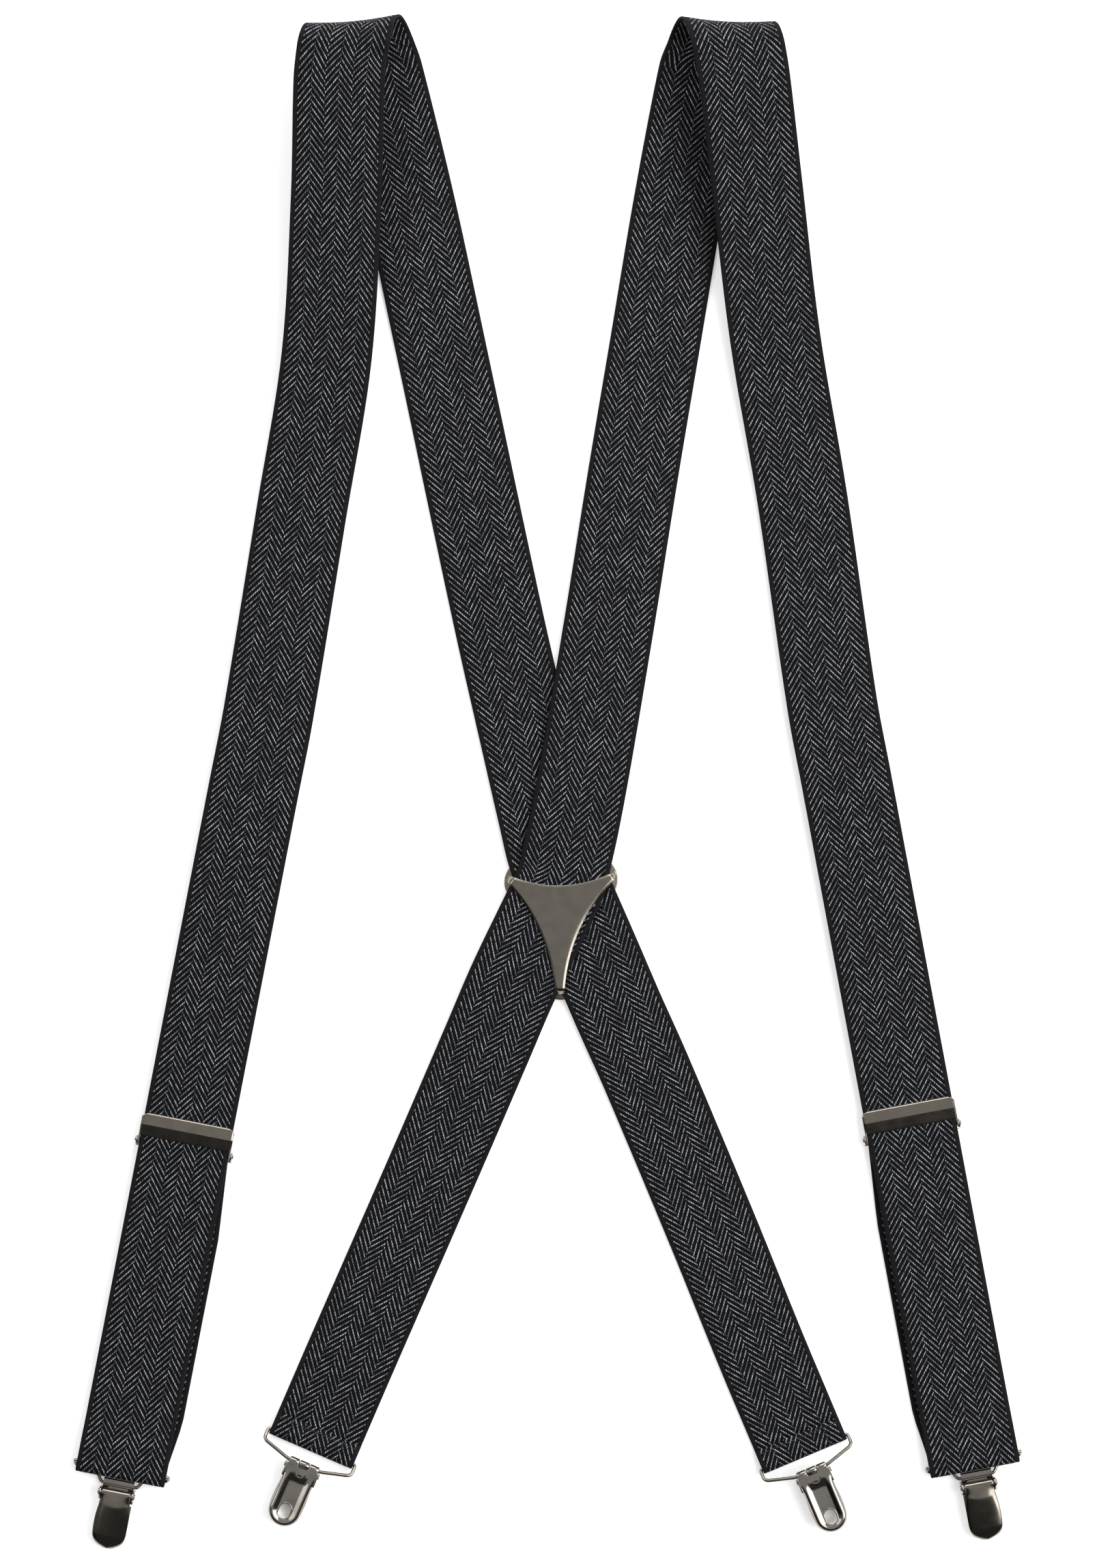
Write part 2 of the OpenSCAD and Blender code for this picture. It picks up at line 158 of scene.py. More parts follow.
@dataclass(frozen=True)
class HerringboneElastic:
    """Woven elastic webbing: near-black ground with light viscose floats in a herringbone.

    The floats catch the light as short bright dashes; the ground and the selvedges stay matt.
    """

    name: str = "herringbone_elastic"
    ground: str = "#070607"
    rib: str = "#111012"
    float_dark: str = "#666b72"
    float_light: str = "#c9ced6"
    selvedge: str = "#0c0b0d"
    selvedge_cord: str = "#302e31"
    column_mm: float = 5.25
    columns: int = 6
    stripe_mm: float = 2.69
    slope: float = 1.28
    dash_mm: float = 0.7
    cord_mm: float = 0.9
    wavers_per_m: float = 420.0
    lint_per_m: float = 2600.0

    def build(self) -> bpy.types.Material:
        """Builds the weave on the strap's own UV map, which is in metres.

        Returns:
            The webbing's material.
        """
        material = bpy.data.materials.new(self.name)
        r = Recipe(material, "Principled BSDF")
        half_field = self.column_mm * self.columns / 2
        uv = r.add("UVMap", uv_map="weave")
        across_m = r.add("SeparateXYZ", (uv,), "X")
        along_m = r.add("SeparateXYZ", (uv,), "Y")
        across = r.add("Math", (across_m, 1 / MM), operation="MULTIPLY")
        along = r.add("Math", (along_m, 1 / MM), operation="MULTIPLY")
        half = r.add("Math", (across,), operation="ABSOLUTE")
        inside = r.add("MapRange", (half, half_field + 0.15, half_field - 0.25), **SMOOTH)
        edge = r.add("MapRange", (half, half_field - 0.1, half_field + 0.2), **SMOOTH)

        # the threads climb one column and fall down the next
        from_edge = r.add("Math", (across, half_field), operation="ADD")
        zigzag = r.add("Math", (from_edge, self.column_mm), operation="PINGPONG")
        column_run = r.add("Math", (from_edge, self.column_mm), operation="DIVIDE")
        column = r.add("Math", (column_run,), operation="FLOOR")
        rise = r.add("Math", (zigzag, self.slope), operation="MULTIPLY")
        climb = r.add("Math", (along, rise), operation="SUBTRACT")
        stripe = r.add("Math", (climb, self.stripe_mm), operation="DIVIDE")
        # threads waver a little, so the stripes aren't ruled lines
        noise = r.add("TexNoise", {"Vector": uv, "Scale": self.wavers_per_m, "Detail": 1.0})
        waver = r.add("Math", (noise, 0.5), operation="SUBTRACT")
        slight = r.add("Math", (waver, 0.06), operation="MULTIPLY")
        wavy = r.add("Math", (stripe, slight), operation="ADD")
        # each column starts half a stripe on from the last, so the lines break at the ridges
        odd = r.add("Math", (column, 2.0), operation="MODULO")
        stagger = r.add("Math", (odd, 0.5), operation="MULTIPLY")
        phase = r.add("Math", (wavy, stagger), operation="ADD")
        line = r.add("MapRange", (r.ridges(phase), 0.65, 0.85), **SMOOTH)

        # real floats are about 0.5 mm apart; they are drawn a little coarser so that they show
        step = r.add("Math", (zigzag, self.dash_mm), operation="DIVIDE")
        steps = r.ridges(step)
        dash = r.add("MapRange", (steps, 0.0, 0.55), **SMOOTH)
        nearest = r.add("Math", (step,), operation="ROUND")
        row = r.add("Math", (phase,), operation="FLOOR")
        cell = r.add("CombineXYZ", (nearest, row, column))
        luck = r.add("TexWhiteNoise", {"Vector": cell}, "Value", noise_dimensions="3D")
        spark = r.add("Math", (luck, 1.7), operation="POWER")
        lint = r.add("TexNoise", {"Vector": uv, "Scale": self.lint_per_m, "Detail": 2.0})
        worn = r.add("MapRange", (lint, 0.36, 0.6, 0.8, 1.0), **SMOOTH)
        uneven = r.add("MapRange", (spark, 0.0, 1.0, 0.85, 1.0), **SMOOTH)
        chance = r.add("Math", (uneven, worn), operation="MULTIPLY")
        dashes = r.add("Math", (line, dash), operation="MULTIPLY")
        shown = r.add("Math", (chance, inside), operation="MULTIPLY")
        light = r.add("Math", (dashes, shown), operation="MULTIPLY")

        # the dark floats between the light lines, a second rib three times as fine
        finer = r.add("Math", (phase, 3.0), operation="MULTIPLY")
        rib = r.add("MapRange", (r.ridges(finer), 0.2, 0.9), **SMOOTH)
        knot = r.add("MapRange", (steps, 0.1, 0.8), **SMOOTH)
        knots = r.add("Math", (rib, knot), operation="MULTIPLY")

        # a slanted cord runs along each selvedge
        lean = r.add("Math", (half, 0.7), operation="MULTIPLY")
        slant = r.add("Math", (along, lean), operation="ADD")
        turns = r.add("Math", (slant, self.cord_mm), operation="DIVIDE")
        cord = r.ridges(turns)
        cords = r.add("Math", (cord, edge), operation="MULTIPLY")
        faint = r.add("Math", (cords, 0.4), operation="MULTIPLY")

        weft = {"Factor": knots, "A": linear(self.ground), "B": linear(self.rib)}
        yarn = {"Factor": spark, "A": linear(self.float_dark), "B": linear(self.float_light)}
        colour = r.add("Mix", weft, "Result", data_type="RGBA")
        floats = r.add("Mix", yarn, "Result", data_type="RGBA")
        cover = ((edge, linear(self.selvedge)), (light, floats), (faint, linear(self.selvedge_cord)))
        for share, over in cover:
            colour = r.add("Mix", {"Factor": share, "A": colour, "B": over}, "Result", data_type="RGBA")

        low = r.add("Math", (knots, 0.45), operation="MULTIPLY")
        threads = r.add("Math", (light, low), operation="ADD")
        middle = r.add("Math", (threads, inside), operation="MULTIPLY")
        half_edge = r.add("Math", (edge, 0.5), operation="MULTIPLY")
        border = r.add("Math", (cord, half_edge), operation="MULTIPLY")
        height = r.add("Math", (middle, border), operation="ADD")
        r.feed(
            r.shader,
            {
                "Base Color": colour,
                "Roughness": r.add("MapRange", (light, 0.0, 1.0, 0.78, 0.42), **SMOOTH),
                "Normal": r.add("Bump", {"Height": height, "Strength": 0.7, "Distance": 0.25 * MM}),
                "Specular IOR Level": 0.1,
            },
        )
        return material


@dataclass(frozen=True)
class PlatedMetal:
    """Steel or brass pressing, polished and plated; mirror-like with a faint haze and fine scratches."""

    name: str
    colour: str
    tarnish: str
    roughness: float
    cloud_mm: float = 6
    scratch_mm: float = 0.05
    coarser: int = 8

    def build(self) -> bpy.types.Material:
        """Builds the plating.

        Returns:
            The metal's material.
        """
        material = bpy.data.materials.new(self.name)
        r = Recipe(material, "Principled BSDF")
        place = r.add("TexCoord", out="Object")
        cloud = r.add("TexNoise", {"Vector": place, "Scale": 1 / (self.cloud_mm * MM), "Detail": 3.0})
        # polishing marks are too fine to show, so they are drawn eight times as coarse
        marks_per_m = 1 / (self.scratch_mm * MM * self.coarser)
        grain = r.add("TexNoise", {"Vector": place, "Scale": marks_per_m, "Detail": 2.0})
        haze = r.add("MapRange", (cloud, 0.3, 0.7, -0.03, 0.04), **SMOOTH)
        marks = r.add("MapRange", (grain, 0.3, 0.7, -0.02, 0.02), **SMOOTH)
        uneven = r.add("Math", (haze, marks), operation="ADD")
        tint = r.add("MapRange", (cloud, 0.35, 0.75), **SMOOTH)
        plating = {"Factor": tint, "A": linear(self.colour), "B": linear(self.tarnish)}
        r.feed(
            r.shader,
            {
                "Base Color": r.add("Mix", plating, "Result", data_type="RGBA"),
                "Metallic": 1.0,
                "Roughness": r.add("Math", (uneven, self.roughness), operation="ADD"),
                "Normal": r.add("Bump", {"Height": grain, "Strength": 0.03, "Distance": 0.02 * MM}),
            },
        )
        return material


@dataclass(frozen=True)
class SpunThread:
    """Black polyester sewing thread: matt with a twist that shows as fine slanted ridges, their tops painted
    lighter as a painted highlight.
    """

    name: str = "polyester_thread"
    colour: str = "#141316"
    # painted highlight: the lighter grey laid on the twist's ridges
    lit: str = "#2a292e"
    wave_mm: float = 2.2

    def build(self) -> bpy.types.Material:
        """Builds the thread's twist and its painted highlight.

        Returns:
            The thread's material.
        """
        material = bpy.data.materials.new(self.name)
        r = Recipe(material, "Principled BSDF")
        place = r.add("TexCoord", out="Object")
        # the twist's ridges are drawn about 1 mm apart, coarser than real, so that they show
        waves = {"Vector": place, "Scale": 1 / (self.wave_mm * MM), "Distortion": 1.0}
        twist = r.add("TexWave", waves, 1, bands_direction="DIAGONAL")
        # painted highlight: the ridges' tops are painted the lighter grey, the hollows stay black
        twist_highlight = {"Factor": twist, "A": linear(self.colour), "B": linear(self.lit)}
        r.feed(
            r.shader,
            {
                "Base Color": r.add("Mix", twist_highlight, "Result", data_type="RGBA"),
                "Roughness": 0.7,
                "Normal": r.add("Bump", {"Height": twist, "Strength": 0.5, "Distance": 0.05 * MM}),
            },
        )
        return material


@dataclass(frozen=True)
class MouldedGrip:
    """Black moulded nylon: satin, with the mould's fine grain, its raised grain painted lighter as a painted
    highlight.
    """

    name: str = "moulded_nylon"
    colour: str = "#1a1a1b"
    # painted highlight: the lighter grey laid on the raised grain
    lit: str = "#262627"
    grain_mm: float = 0.4

    def build(self) -> bpy.types.Material:
        """Builds the nylon's grain and its painted highlight.

        Returns:
            The grip pad's material.
        """
        material = bpy.data.materials.new(self.name)
        r = Recipe(material, "Principled BSDF")
        place = r.add("TexCoord", out="Object")
        # the mould's grain is drawn coarser than real, so that it shows
        grain = r.add("TexNoise", {"Vector": place, "Scale": 1 / (self.grain_mm * MM), "Detail": 2.0})
        # painted highlight: the raised grain is painted the lighter grey
        grain_highlight = {"Factor": grain, "A": linear(self.colour), "B": linear(self.lit)}
        r.feed(
            r.shader,
            {
                "Base Color": r.add("Mix", grain_highlight, "Result", data_type="RGBA"),
                "Roughness": 0.55,
                "Normal": r.add("Bump", {"Height": grain, "Strength": 0.3, "Distance": 0.05 * MM}),
            },
        )
        return material


class Wardrobe:
    """Every finish, built once."""

    def __init__(self) -> None:
        """Builds the finishes."""
        self.webbing = HerringboneElastic().build()
        # black nickel over polished steel: clear but dim reflections, slightly warm
        self.gunmetal = PlatedMetal("black_nickel_plated_steel", "#8e877d", "#807a70", 0.15).build()
        # a thinner black nickel on the smaller pressings: a shade lighter and sharper
        self.nickel = PlatedMetal("dark_nickel_plated_steel", "#9a958e", "#8c8780", 0.13).build()
        # bright nickel left unpolished on the levers' inner faces: pale and blurred
        self.bright = PlatedMetal("bright_nickel_inner_face", "#f4f2ee", "#e6e3de", 0.34).build()
        self.thread = SpunThread().build()
        self.grip = MouldedGrip().build()


# ---- modelling ----


def clear_selection() -> None:
    """Deselects everything, so that the next operator acts on the new piece alone."""
    if bpy.context.object is not None and bpy.context.object.mode != "OBJECT":
        bpy.ops.object.mode_set(mode="OBJECT")
    bpy.ops.object.select_all(action="DESELECT")


def pick(*pieces: Piece) -> None:
    """Selects these pieces alone; the first is active.

    Args:
        pieces: objects to select.
    """
    clear_selection()
    for piece in pieces:
        piece.select_set(True)
    bpy.context.view_layer.objects.active = pieces[0]


def edit(piece: Piece, *steps: Callable[[], object]) -> None:
    """Runs edit-mode operators on all of a piece.

    Args:
        piece: the mesh object.
        steps: operators to call, in order.
    """
    pick(piece)
    bpy.ops.object.mode_set(mode="EDIT")
    bpy.ops.mesh.select_all(action="SELECT")
    for step in steps:
        step()
    bpy.ops.object.mode_set(mode="OBJECT")


def weld(threshold: float = 0.003 * MM) -> None:
    """Merges vertices closer than the threshold and points the faces outwards, in edit mode."""
    bpy.ops.mesh.remove_doubles(threshold=threshold)
    bpy.ops.mesh.normals_make_consistent(inside=False)


def modify(piece: Piece, kind: str, **settings: object) -> None:
    """Adds a modifier and applies it.

    Args:
        piece: the mesh object.
        kind: the modifier's type.
        settings: its properties.
    """
    pick(piece)
    modifier = piece.modifiers.new(kind.lower(), kind)
    for key, value in settings.items():
        setattr(modifier, key, value)
    bpy.ops.object.modifier_apply(modifier=modifier.name)


def soften(piece: Piece, width: float, angle: float = 35.0) -> None:
    """Rounds the edges and shades smooth.

    Args:
        piece: the mesh object.
        width: bevel width in metres, 0 for none.
        angle: edges sharper than this many degrees are rounded and stay crisp.
    """
    if width:
        limit = math.radians(angle)
        modify(piece, "BEVEL", width=width, segments=3, limit_method="ANGLE", angle_limit=limit)
    pick(piece)
    bpy.ops.object.shade_smooth_by_angle(angle=math.radians(angle))


def sheet_form(name: str, wide: int, long: int, place: Callable[[float, float], Vector]) -> Piece:
    """Shapes a grid: each vertex goes where place says.

    Args:
        name: the piece's name.
        wide: faces across.
        long: faces along.
        place: shares across and along, each 0 to 1, to a point.

    Returns:
        The shaped grid.
    """
    clear_selection()
    bpy.ops.mesh.primitive_grid_add(x_subdivisions=wide, y_subdivisions=long, size=1, calc_uvs=False)
    piece = bpy.context.object
    piece.name = name
    for vertex in piece.data.vertices:
        vertex.co = place(vertex.co.x + 0.5, vertex.co.y + 0.5)
    return piece


def plate_form(name: str, outline: list[Pair], low: float, high: float) -> Piece:
    """Cuts a flat plate: a filled circle pulled to the outline, then extruded.

    Args:
        name: the piece's name.
        outline: points in plan, anticlockwise.
        low: underside height.
        high: top height.

    Returns:
        The plate.
    """
    clear_selection()
    bpy.ops.mesh.primitive_circle_add(vertices=len(outline), radius=1, fill_type="NGON")
    piece = bpy.context.object
    piece.name = name
    for vertex, (x, y) in zip(piece.data.vertices, outline):
        vertex.co = (x, y, low)
    edit(
        piece,
        lambda: bpy.ops.mesh.extrude_region_move(TRANSFORM_OT_translate={"value": (0, 0, high - low)}),
        lambda: bpy.ops.mesh.select_all(action="SELECT"),
        weld,
    )
    return piece


def slab(name: str, x: Pair, y: Pair, z: Pair, bevel: float = 0.0) -> Piece:
    """Cuts a plate with four square corners.

    Args:
        name: the piece's name.
        x: its left and right edges.
        y: its lower and upper edges.
        z: its underside and top.
        bevel: width of its rounded edges.

    Returns:
        The plate.
    """
    (left, right), (lower, upper) = x, y
    corners = [(left, lower), (right, lower), (right, upper), (left, upper)]
    piece = plate_form(name, corners, *z)
    if bevel:
        soften(piece, bevel)
    return piece


def cheek(name: str, profile: list[Pair], middle: float, thick: float, bevel: float) -> Piece:
    """Cuts a plate that stands upright along Y, as an ear or an arm does.

    Args:
        name: the piece's name.
        profile: its side view, as (y, z).
        middle: where its thickness is centred on X.
        thick: its thickness.
        bevel: width of its rounded edges.

    Returns:
        The plate.
    """
    piece = plate_form(name, profile, 0, thick)
    upright = Matrix(((0, 0, 1, 0), (1, 0, 0, 0), (0, 1, 0, 0), (0, 0, 0, 1)))
    piece.data.transform(Matrix.Translation((middle - thick / 2, 0, 0)) @ upright)
    soften(piece, bevel)
    return piece


def bar_form(name: str, start: Point, stop: Point, radius: float, sides: int = 32) -> Piece:
    """Turns a round bar between two points, its ends inset and domed.

    Args:
        name: the piece's name.
        start: one end's middle.
        stop: the other end's middle.
        radius: of the bar.
        sides: faces round it.

    Returns:
        The bar.
    """
    clear_selection()
    first, last = Vector(start), Vector(stop)
    run = last - first
    bpy.ops.mesh.primitive_cylinder_add(vertices=sides, radius=radius, depth=run.length)
    piece = bpy.context.object
    piece.name = name
    turn = run.to_track_quat("Z", "Y").to_matrix().to_4x4()
    piece.data.transform(Matrix.Translation((first + last) / 2) @ turn)
    width = min(radius * 0.3, run.length * 0.2)
    modify(piece, "BEVEL", width=width, segments=2, limit_method="ANGLE", angle_limit=1.0)
    return piece


def wire_form(name: str, points: list[Vector], radius: float) -> Piece:
    """Bends a closed loop of round wire and makes it a mesh.

    Args:
        name: the piece's name.
        points: the wire's middle line.
        radius: of the wire.

    Returns:
        The wire.
    """
    clear_selection()
    bpy.ops.curve.primitive_bezier_circle_add(radius=1)
    piece = bpy.context.object
    piece.name = name
    curve = piece.data
    curve.splines.clear()
    spline = curve.splines.new("POLY")
    spline.points.add(len(points) - 1)
    for knot, point in zip(spline.points, points):
        knot.co = (*point, 1)
    spline.use_cyclic_u = True
    curve.dimensions = "3D"
    curve.bevel_depth = radius
    curve.bevel_resolution = 4
    pick(piece)
    bpy.ops.object.convert(target="MESH")
    return bpy.context.object


def rounded(points: list[Vector], radius: float, steps: int = 5) -> list[Vector]:
    """Rounds each corner of a closed line.

    Args:
        points: the corners.
        radius: how far from each corner the bend starts.
        steps: points in each bend.

    Returns:
        The line with its bends.
    """
    line = []
    for i, corner in enumerate(points):
        before, after = points[i - 1], points[(i + 1) % len(points)]
        reach_in = min(radius, (before - corner).length * 0.45)
        reach_out = min(radius, (after - corner).length * 0.45)
        a = corner + (before - corner).normalized() * reach_in
        b = corner + (after - corner).normalized() * reach_out
        for k in range(steps + 1):
            u = k / steps
            line.append(a * (1 - u) ** 2 + corner * (2 * u * (1 - u)) + b * u * u)
    return line


def joined(name: str, pieces: list[Piece]) -> Piece:
    """Joins pieces into one and names it.

    Args:
        name: the whole's name.
        pieces: what goes into it.

    Returns:
        The joined piece.
    """
    pick(*pieces)
    bpy.ops.object.join()
    piece = bpy.context.object
    piece.name = name
    return piece


def assembled(name: str, parts: list[Piece], place: Matrix, bevel: float = 0.0, angle: float = 40.0) -> Piece:
    """Joins parts modelled in a fitting's own frame, rounds their edges and puts the whole in its place.

    Args:
        name: the whole's name.
        parts: what goes into it.
        place: from the fitting's frame to the model's.
        bevel: width of the rounded edges, 0 for none.
        angle: edges sharper than this many degrees stay crisp.

    Returns:
        The finished piece.
    """
    piece = joined(name, parts)
    soften(piece, bevel, angle)
    piece.data.transform(place)
    return piece


def seat(at: Vector, across: Vector, face: int = 1) -> Matrix:
    """The way from a fitting's own frame, in mm, to its place on a strap.

    Args:
        at: its origin's place, in metres.
        across: level direction of its X axis.
        face: 1 when it lies face up, -1 when it lies face down.

    Returns:
        The matrix.
    """
    up = Vector((-across.y, across.x, 0))
    axes = Matrix((across * face, up, Vector((0, 0, face)))).transposed().to_4x4()
    return Matrix.Translation(at) @ axes @ Matrix.Scale(MM, 4)


def arc(centre: Pair, radius: float, start: float, stop: float, steps: int) -> list[Pair]:
    """Points on an arc in plan, from one angle to another in degrees.

    Args:
        centre: of the arc.
        radius: of the arc.
        start: first angle.
        stop: last angle.
        steps: stretches between them.

    Returns:
        The points, both ends among them.
    """
    angles = [math.radians(start + (stop - start) * k / steps) for k in range(steps + 1)]
    return [(centre[0] + radius * math.cos(q), centre[1] + radius * math.sin(q)) for q in angles]


def dress(
    piece: Piece, finish: Optional[bpy.types.Material], body: str, slot: str, *nodes: str
) -> None:
    """Gives a finished piece its material and its body, and hides the CAD nodes that it stands for.

    Args:
        piece: the finished mesh.
        finish: its material, or None where the piece already carries its own.
        body: the body it rides on, or "" when it blends across a joint.
        slot: the record's material slot; not used.
        nodes: CAD nodes that it replaces.
    """
    if finish is not None:
        piece.data.materials.clear()
        piece.data.materials.append(finish)
    if body:
        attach(piece, body)
    if nodes:
        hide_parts(*nodes)
    LOG.info("%s: %d faces", piece.name, len(piece.data.polygons))


def flat(v: Vector) -> Vector:
    """The level part of a direction, made unit."""
    return Vector((v.x, v.y, 0)).normalized()


def compass(lean: float) -> Vector:
    """The level direction that leans this many degrees to the right of +Y."""
    return Vector((math.sin(math.radians(lean)), math.cos(math.radians(lean)), 0))


# ---- straps ----


@dataclass
class Ribbon:
    """Webbing swept along stations, each a middle point and the direction across it."""

    name: str
    width: float = 35 * MM
    thick: float = 1.2 * MM
    stations: list[tuple[Vector, Vector]] = field(default_factory=list)
    start_at: float = 0.0

    def add(self, point: Vector, across: Vector) -> None:
        """Adds a station unless it falls on the last one."""
        if not self.stations or (self.stations[-1][0] - point).length > 0.05 * MM:
            self.stations.append((point.copy(), across.normalized()))

    def section(self) -> list[Pair]:
        """The webbing's cut end, as (across, up): flat faces, a thinner selvedge and rounded edges.

        Returns:
            The outline's points, once round.
        """
        half, up = self.width / 2, self.thick / 2
        seam = half - 1.7 * MM
        top = [(-seam - 0.25 * MM, up * 0.86), (-seam + 0.3 * MM, up)]
        top += [(seam * k / 4, up) for k in range(-3, 4)]
        top += [(seam - 0.3 * MM, up), (seam + 0.25 * MM, up * 0.86)]
        right = [(half - 0.35 * MM, up * 0.95), (half - 0.08 * MM, up * 0.6), (half, 0.0)]
        upper = [(-x, z) for x, z in reversed(right)] + top + right[:-1]
        return upper + [(-x, -z) for x, z in upper]

    def build(self) -> Piece:
        """Sweeps the section along the stations and lays the weave's UV map on it in metres.

        Returns:
            The finished ribbon, closed at both ends.
        """
        section = self.section()
        around, count = len(section), len(self.stations)
        runs = [0.0]
        for (a, _), (b, _) in zip(self.stations, self.stations[1:]):
            runs.append(runs[-1] + (b - a).length)
        frames = []
        for i, (point, across) in enumerate(self.stations):
            ahead = self.stations[min(i + 1, count - 1)][0] - self.stations[max(i - 1, 0)][0]
            frames.append((point, across, across.cross(ahead).normalized()))
        piece = sheet_form(self.name, around, count - 1, lambda s, t: Vector((s, t, 0)))
        mesh = piece.data
        uv = mesh.uv_layers.new(name="weave")
        for loop in mesh.loops:
            s, t = mesh.vertices[loop.vertex_index].co.xy
            x, _ = section[round(s * around) % around]
            uv.data[loop.index].uv = (x, self.start_at + runs[round(t * (count - 1))])
        for vertex in mesh.vertices:
            s, t = vertex.co.xy
            point, across, up = frames[round(t * (count - 1))]
            x, z = section[round(s * around) % around]
            vertex.co = point + across * x + up * z
        edit(
            piece,
            lambda: bpy.ops.mesh.remove_doubles(threshold=0.003 * MM),
            lambda: bpy.ops.mesh.select_all(action="DESELECT"),
            lambda: bpy.ops.mesh.select_non_manifold(extend=False, use_boundary=True),
            bpy.ops.mesh.fill_holes,
            lambda: bpy.ops.mesh.select_all(action="SELECT"),
            weld,
        )
        soften(piece, 0, 50)
        return piece

    def length(self) -> float:
        """The middle line's length."""
        return sum((b - a).length for (a, _), (b, _) in zip(self.stations, self.stations[1:]))


def smooth_line(points: list[Vector], steps: int) -> list[Vector]:
    """A smooth curve through points, with steps stretches between each two.

    Args:
        points: places the line passes through.
        steps: stretches between neighbours.

    Returns:
        The curve's points.
    """
    last = len(points) - 1
    chords = [(points[min(i + 1, last)] - points[max(i - 1, 0)]).normalized() for i in range(last + 1)]
    line = []
    for i in range(last):
        a, b = points[i], points[i + 1]
        reach = (b - a).length
        p, q = chords[i] * reach, chords[i + 1] * reach
        for k in range(steps):
            u = k / steps
            line.append(
                a * (2 * u**3 - 3 * u**2 + 1)
                + p * (u**3 - 2 * u**2 + u)
                + b * (3 * u**2 - 2 * u**3)
                + q * (u**3 - u**2)
            )
    return [*line, points[-1]]


@dataclass
class Strap:
    """One strap, from its sewn end on the adjuster, over the shoulder, to the back clip. Lengths in mm."""

    side: Side
    corner: Pair
    top: Pair
    rise_lean: float
    top_lean: float
    under_lean: float
    back_run: list[Point]
    peek: float
    finish: bpy.types.Material
    thread: bpy.types.Material
    bend_r: float = 10.0
    half_t: float = 0.6
    low_z: float = 0.6
    hem_z: float = 2.6
    run_z: float = 3.9
    tuck_z: float = 2.25
    fold_z: float = 5.05
    back_hem_z: float = 3.3
    hem_len: float = 9.5
    stitch_pitch: float = 2.2
    stitch_half: float = 0.85
    thread_r: float = 0.22

    def __post_init__(self) -> None:
        """Finds the strap's lines from the joints."""
        name = self.side.value
        self.up = Vector(JOINTS[f"{name}_strap_length"]["axis"]).normalized()
        self.across = Vector((self.up.y, -self.up.x, 0))
        bar = Vector(JOINTS[f"{name}_front_bail_swing"]["pos_m"]) / MM
        self.fold_at = Vector((bar.x, bar.y, 0)) - self.up * 2.1
        hinge = Vector(JOINTS[f"{name}_cover_flip"]["pos_m"]) / MM
        self.adjuster_bar = (hinge - self.fold_at).dot(self.up) + 0.5
        back = JOINTS[f"{name}_back_bail_swing"]
        self.back_bar = Vector(back["pos_m"]) / MM
        self.back_up = Vector((-back["axis"][1], back["axis"][0], 0)).normalized()

    def on_run(self, s: float, z: float) -> Vector:
        """A point s above the front fold's turn, at height z, in mm."""
        return self.fold_at + self.up * s + Vector((0, 0, z))

    def turn(
        self, ribbon: Ribbon, middle: Vector, away: Vector, across: Vector, start_z: float, stop_z: float
    ) -> None:
        """Adds a half turn of webbing about an axis across it.

        Args:
            ribbon: takes the stations.
            middle: of the turn, in mm.
            away: level direction in which the turn bulges.
            across: direction across the webbing.
            start_z: height it starts at.
            stop_z: height it ends at.
        """
        mid, radius = (start_z + stop_z) / 2, abs(stop_z - start_z) / 2
        rise = 1 if stop_z > start_z else -1
        for k in range(13):
            q = math.radians(15 * k)
            out = away * math.sin(q) * radius + Vector((0, 0, -math.cos(q) * radius * rise + mid))
            ribbon.add((Vector((middle.x, middle.y, 0)) + out) * MM, across)

    def return_and_hem(self) -> Ribbon:
        """The sewn end on the adjuster's bar and the return layer down to the front fold.

        Returns:
            The ribbon, from the sewn end to the fold.
        """
        ribbon = Ribbon(f"{self.side.value}_return_layer")
        bar = self.adjuster_bar
        for k in range(6):
            s = bar - self.hem_len * (1 - k / 5)
            ribbon.add(self.on_run(s, self.hem_z - 0.9 * (1 - k / 5) ** 3) * MM, self.across)
        self.turn(ribbon, self.on_run(bar, 0), self.up, self.across, self.hem_z, self.low_z)
        line = [self.on_run(s, self.low_z) for s in (bar, bar - 12, 60, 20)]
        line += [self.on_run(s, self.tuck_z) for s in (9, 2.2)]
        for point in smooth_line(line, 8):
            s = (point - self.fold_at).dot(self.up)
            # the layer peeks out at one side, and goes straight at the adjuster and near the bail
            below_bar = min(1.0, max(0.0, (bar - 3 - s) / 30))
            above_bail = min(1.0, max(0.0, (s - 7) / 16))
            ribbon.add((point + self.across * self.peek * (below_bar * above_bail)) * MM, self.across)
        return ribbon

    def front_and_fold(self) -> Ribbon:
        """The turn round the front clip's bail and the front run up to the shoulder.

        Returns:
            The ribbon, from the fold to the top of the shoulder.
        """
        ribbon = Ribbon(f"{self.side.value}_front_run")
        ribbon.add(self.on_run(2.2, self.tuck_z) * MM, self.across)
        self.turn(ribbon, self.on_run(0, 0), -self.up, self.across, self.tuck_z, self.fold_z)
        top_z = 2 * self.bend_r + self.half_t
        corner, top = Vector((*self.corner, 0)), Vector((*self.top, 0))
        rise = compass(self.rise_lean)
        line = [self.on_run(s, z) for s, z in ((2.2, self.fold_z), (9, self.fold_z), (24, self.run_z))]
        line += [self.on_run(s, self.run_z) for s in (90, 200, 270)] + [self.on_run(300, 3.4)]
        line += [corner - self.up * 62 + Vector((0, 0, 2))]
        line += [(corner * 2 + corner - self.up * 44 + corner + rise * 44) / 4 + Vector((0, 0, 6))]
        line += [corner + rise * 62 + Vector((0, 0, 13))]
        line += [top - compass((self.top_lean + self.rise_lean) / 2) * 14 + Vector((0, 0, top_z - 0.5))]
        line += [top - compass(self.top_lean) * 3 + Vector((0, 0, top_z - 0.02)), top + Vector((0, 0, top_z))]
        points = smooth_line(line, 10)
        for i, point in enumerate(points):
            ahead = flat(points[min(i + 1, len(points) - 1)] - points[max(i - 1, 0)])
